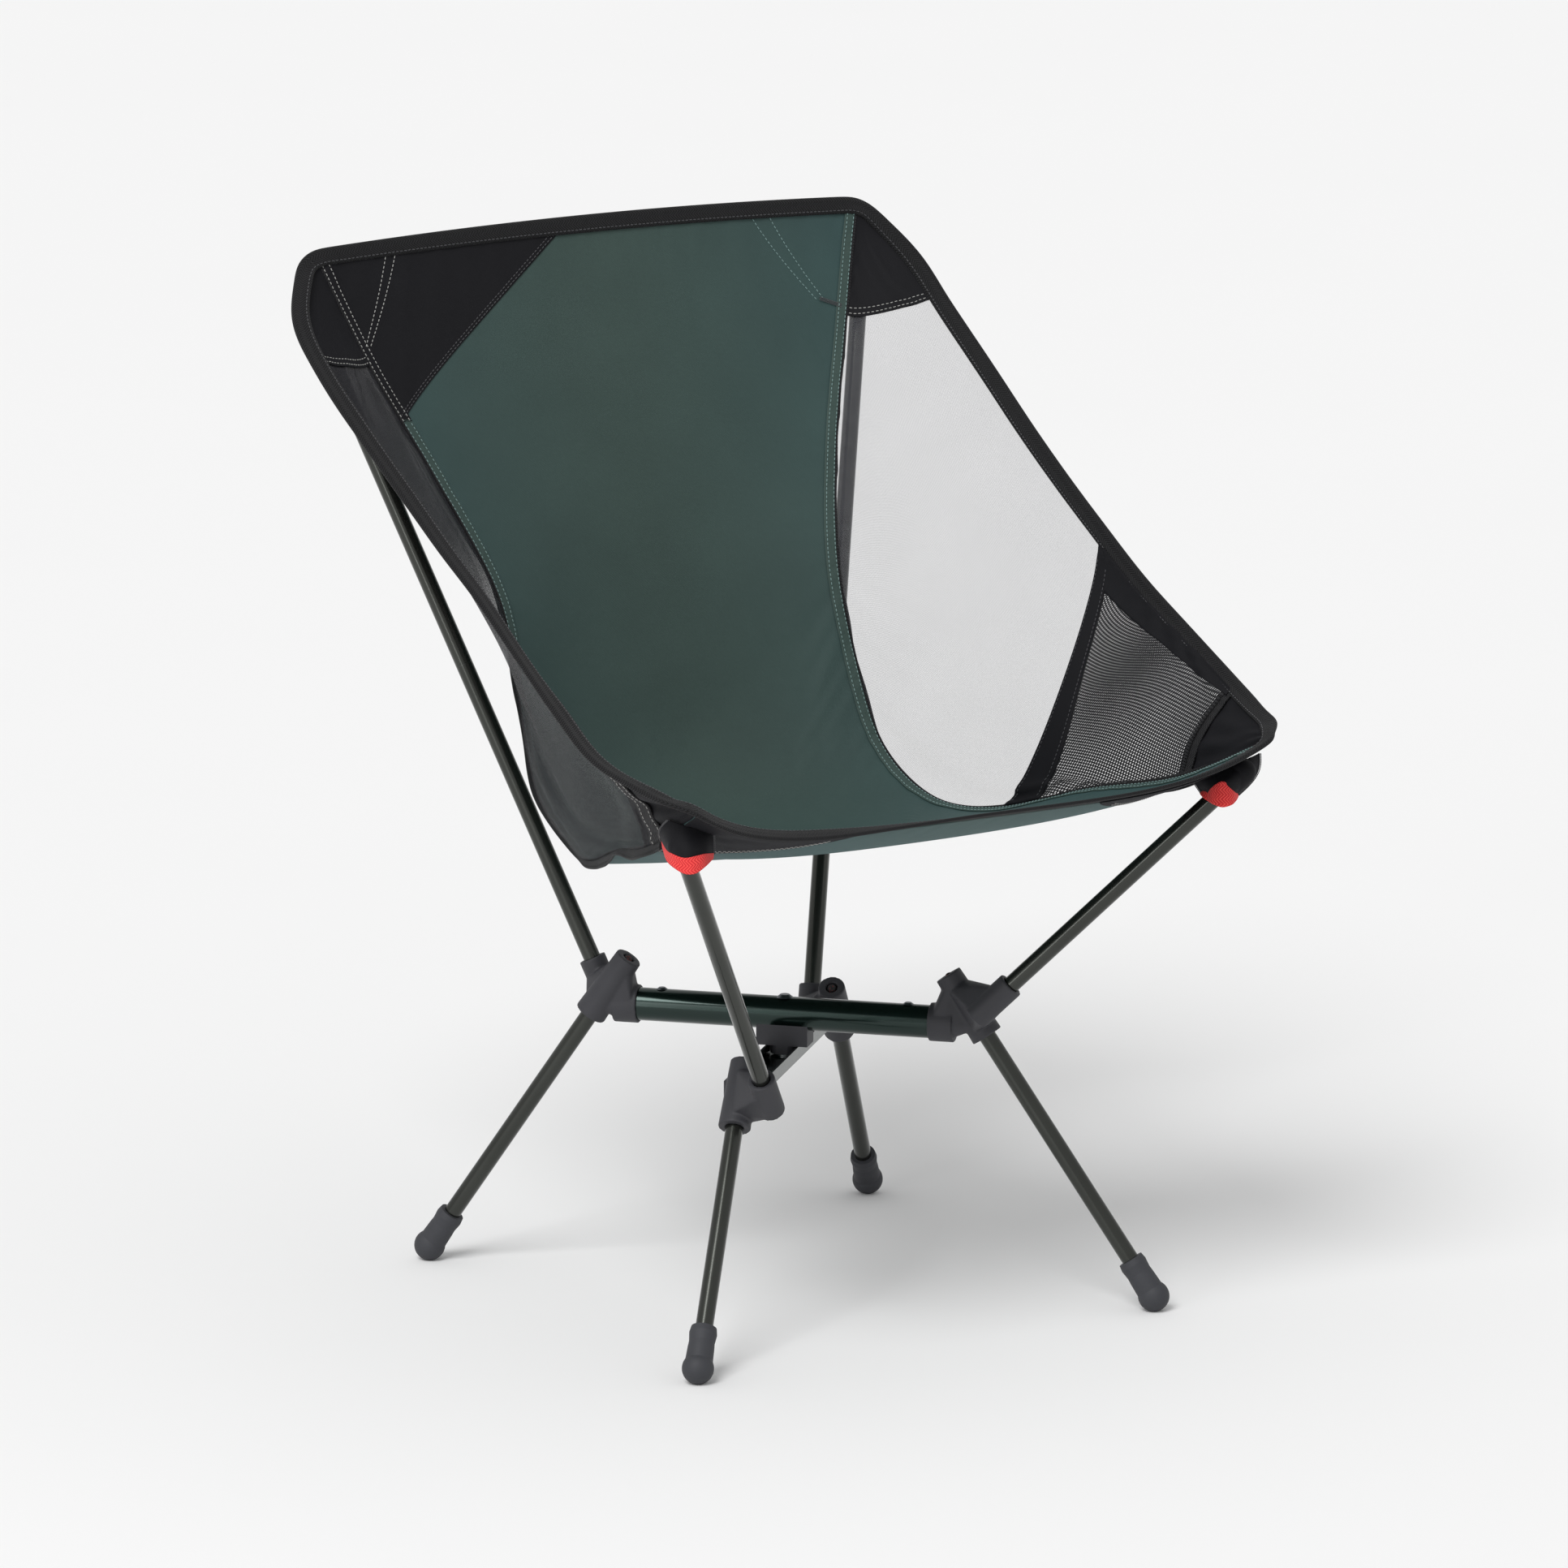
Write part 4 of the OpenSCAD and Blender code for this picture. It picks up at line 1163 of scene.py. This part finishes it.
def low_tape(name, panel):
    """The tape that stands out from a low seam. It gets wider at the front, and its free
    edge curls a little."""
    s = ramp(0.1, 9.3, 460)
    seam = panel.surface(s, 0)
    out = -unit(panel.normal(s, 0.02) + SEAT.normal(s, panel.side * 0.98))
    wide = (2 + 3 * np.clip((s - 7) / 0.8, 0, 1)) * MM * (1 + 0.2 * wave(s * 0.7))
    curl = 1.3 * MM * np.sin(math.tau * s * 1.3 + 0.8)
    lean = unit(np.cross(np.gradient(seam, axis=0), out))
    verts, faces, places = sweep_mesh(
        seam + out * (wide / 2)[:, None] + lean * (curl * 0.3)[:, None],
        (out + lean * (curl / (3 * MM))[:, None] * 0.4) * (wide / (4 * MM))[:, None], lean,
        tape_profile(7 * MM, 1.6 * MM))
    add_piece("low_tape_" + name, verts, faces, SEAM_TAPE, cloth=places)


for name, panel in SIDES.items():
    corner_tape(name, panel)
    low_tape(name, panel)

for stitches in (green, pale, dark, beneath):
    stitches.build()


# ---- Floor and light ----

def floor():
    """A large sheet of pale paper."""
    mesh = bpy.data.meshes.new("floor")
    bm = bmesh.new()
    bmesh.ops.create_grid(bm, x_segments=8, y_segments=8, size=25)
    bm.to_mesh(mesh)
    bm.free()
    ground = new_object("floor", mesh)
    paper = Finish("floor_paper", (0.88, 0.88, 0.88), 0.9)
    paper.set("Specular IOR Level", 0.1)
    grain = paper.noise(0.4, 2)
    paper.set("Base Color", paper.mix(grain, (0.875, 0.875, 0.875), (0.885, 0.885, 0.885)))
    mesh.materials.append(paper.material)


def lamp(name, kind, place, target, energy, **settings):
    data = bpy.data.lights.new(name, kind)
    data.energy = energy
    for key, value in settings.items():
        setattr(data, key, value)
    light = new_object(name, data)
    aim = Vector(target) - Vector(place)
    light.matrix_world = (Matrix.Translation(place)
                          @ aim.to_track_quat("-Z", "Y").to_matrix().to_4x4())


def studio():
    world = bpy.data.worlds.new("studio")
    world.use_nodes = True
    sky = world.node_tree.nodes["Background"]
    sky.inputs["Color"].default_value = (1, 1, 1, 1)
    sky.inputs["Strength"].default_value = 0.62
    bpy.context.scene.world = world
    lamp("key", "SUN", (-3, -2, 4.5), (0, 0, 0.2), energy=1.75, angle=math.radians(28))
    lamp("strip", "AREA", (-2.5, -1.2, 0.45), (0, 0, 0.3), energy=10, shape="RECTANGLE",
         size=0.35, size_y=2.2)
    bpy.context.scene.view_settings.view_transform = "Standard"


floor()
studio()
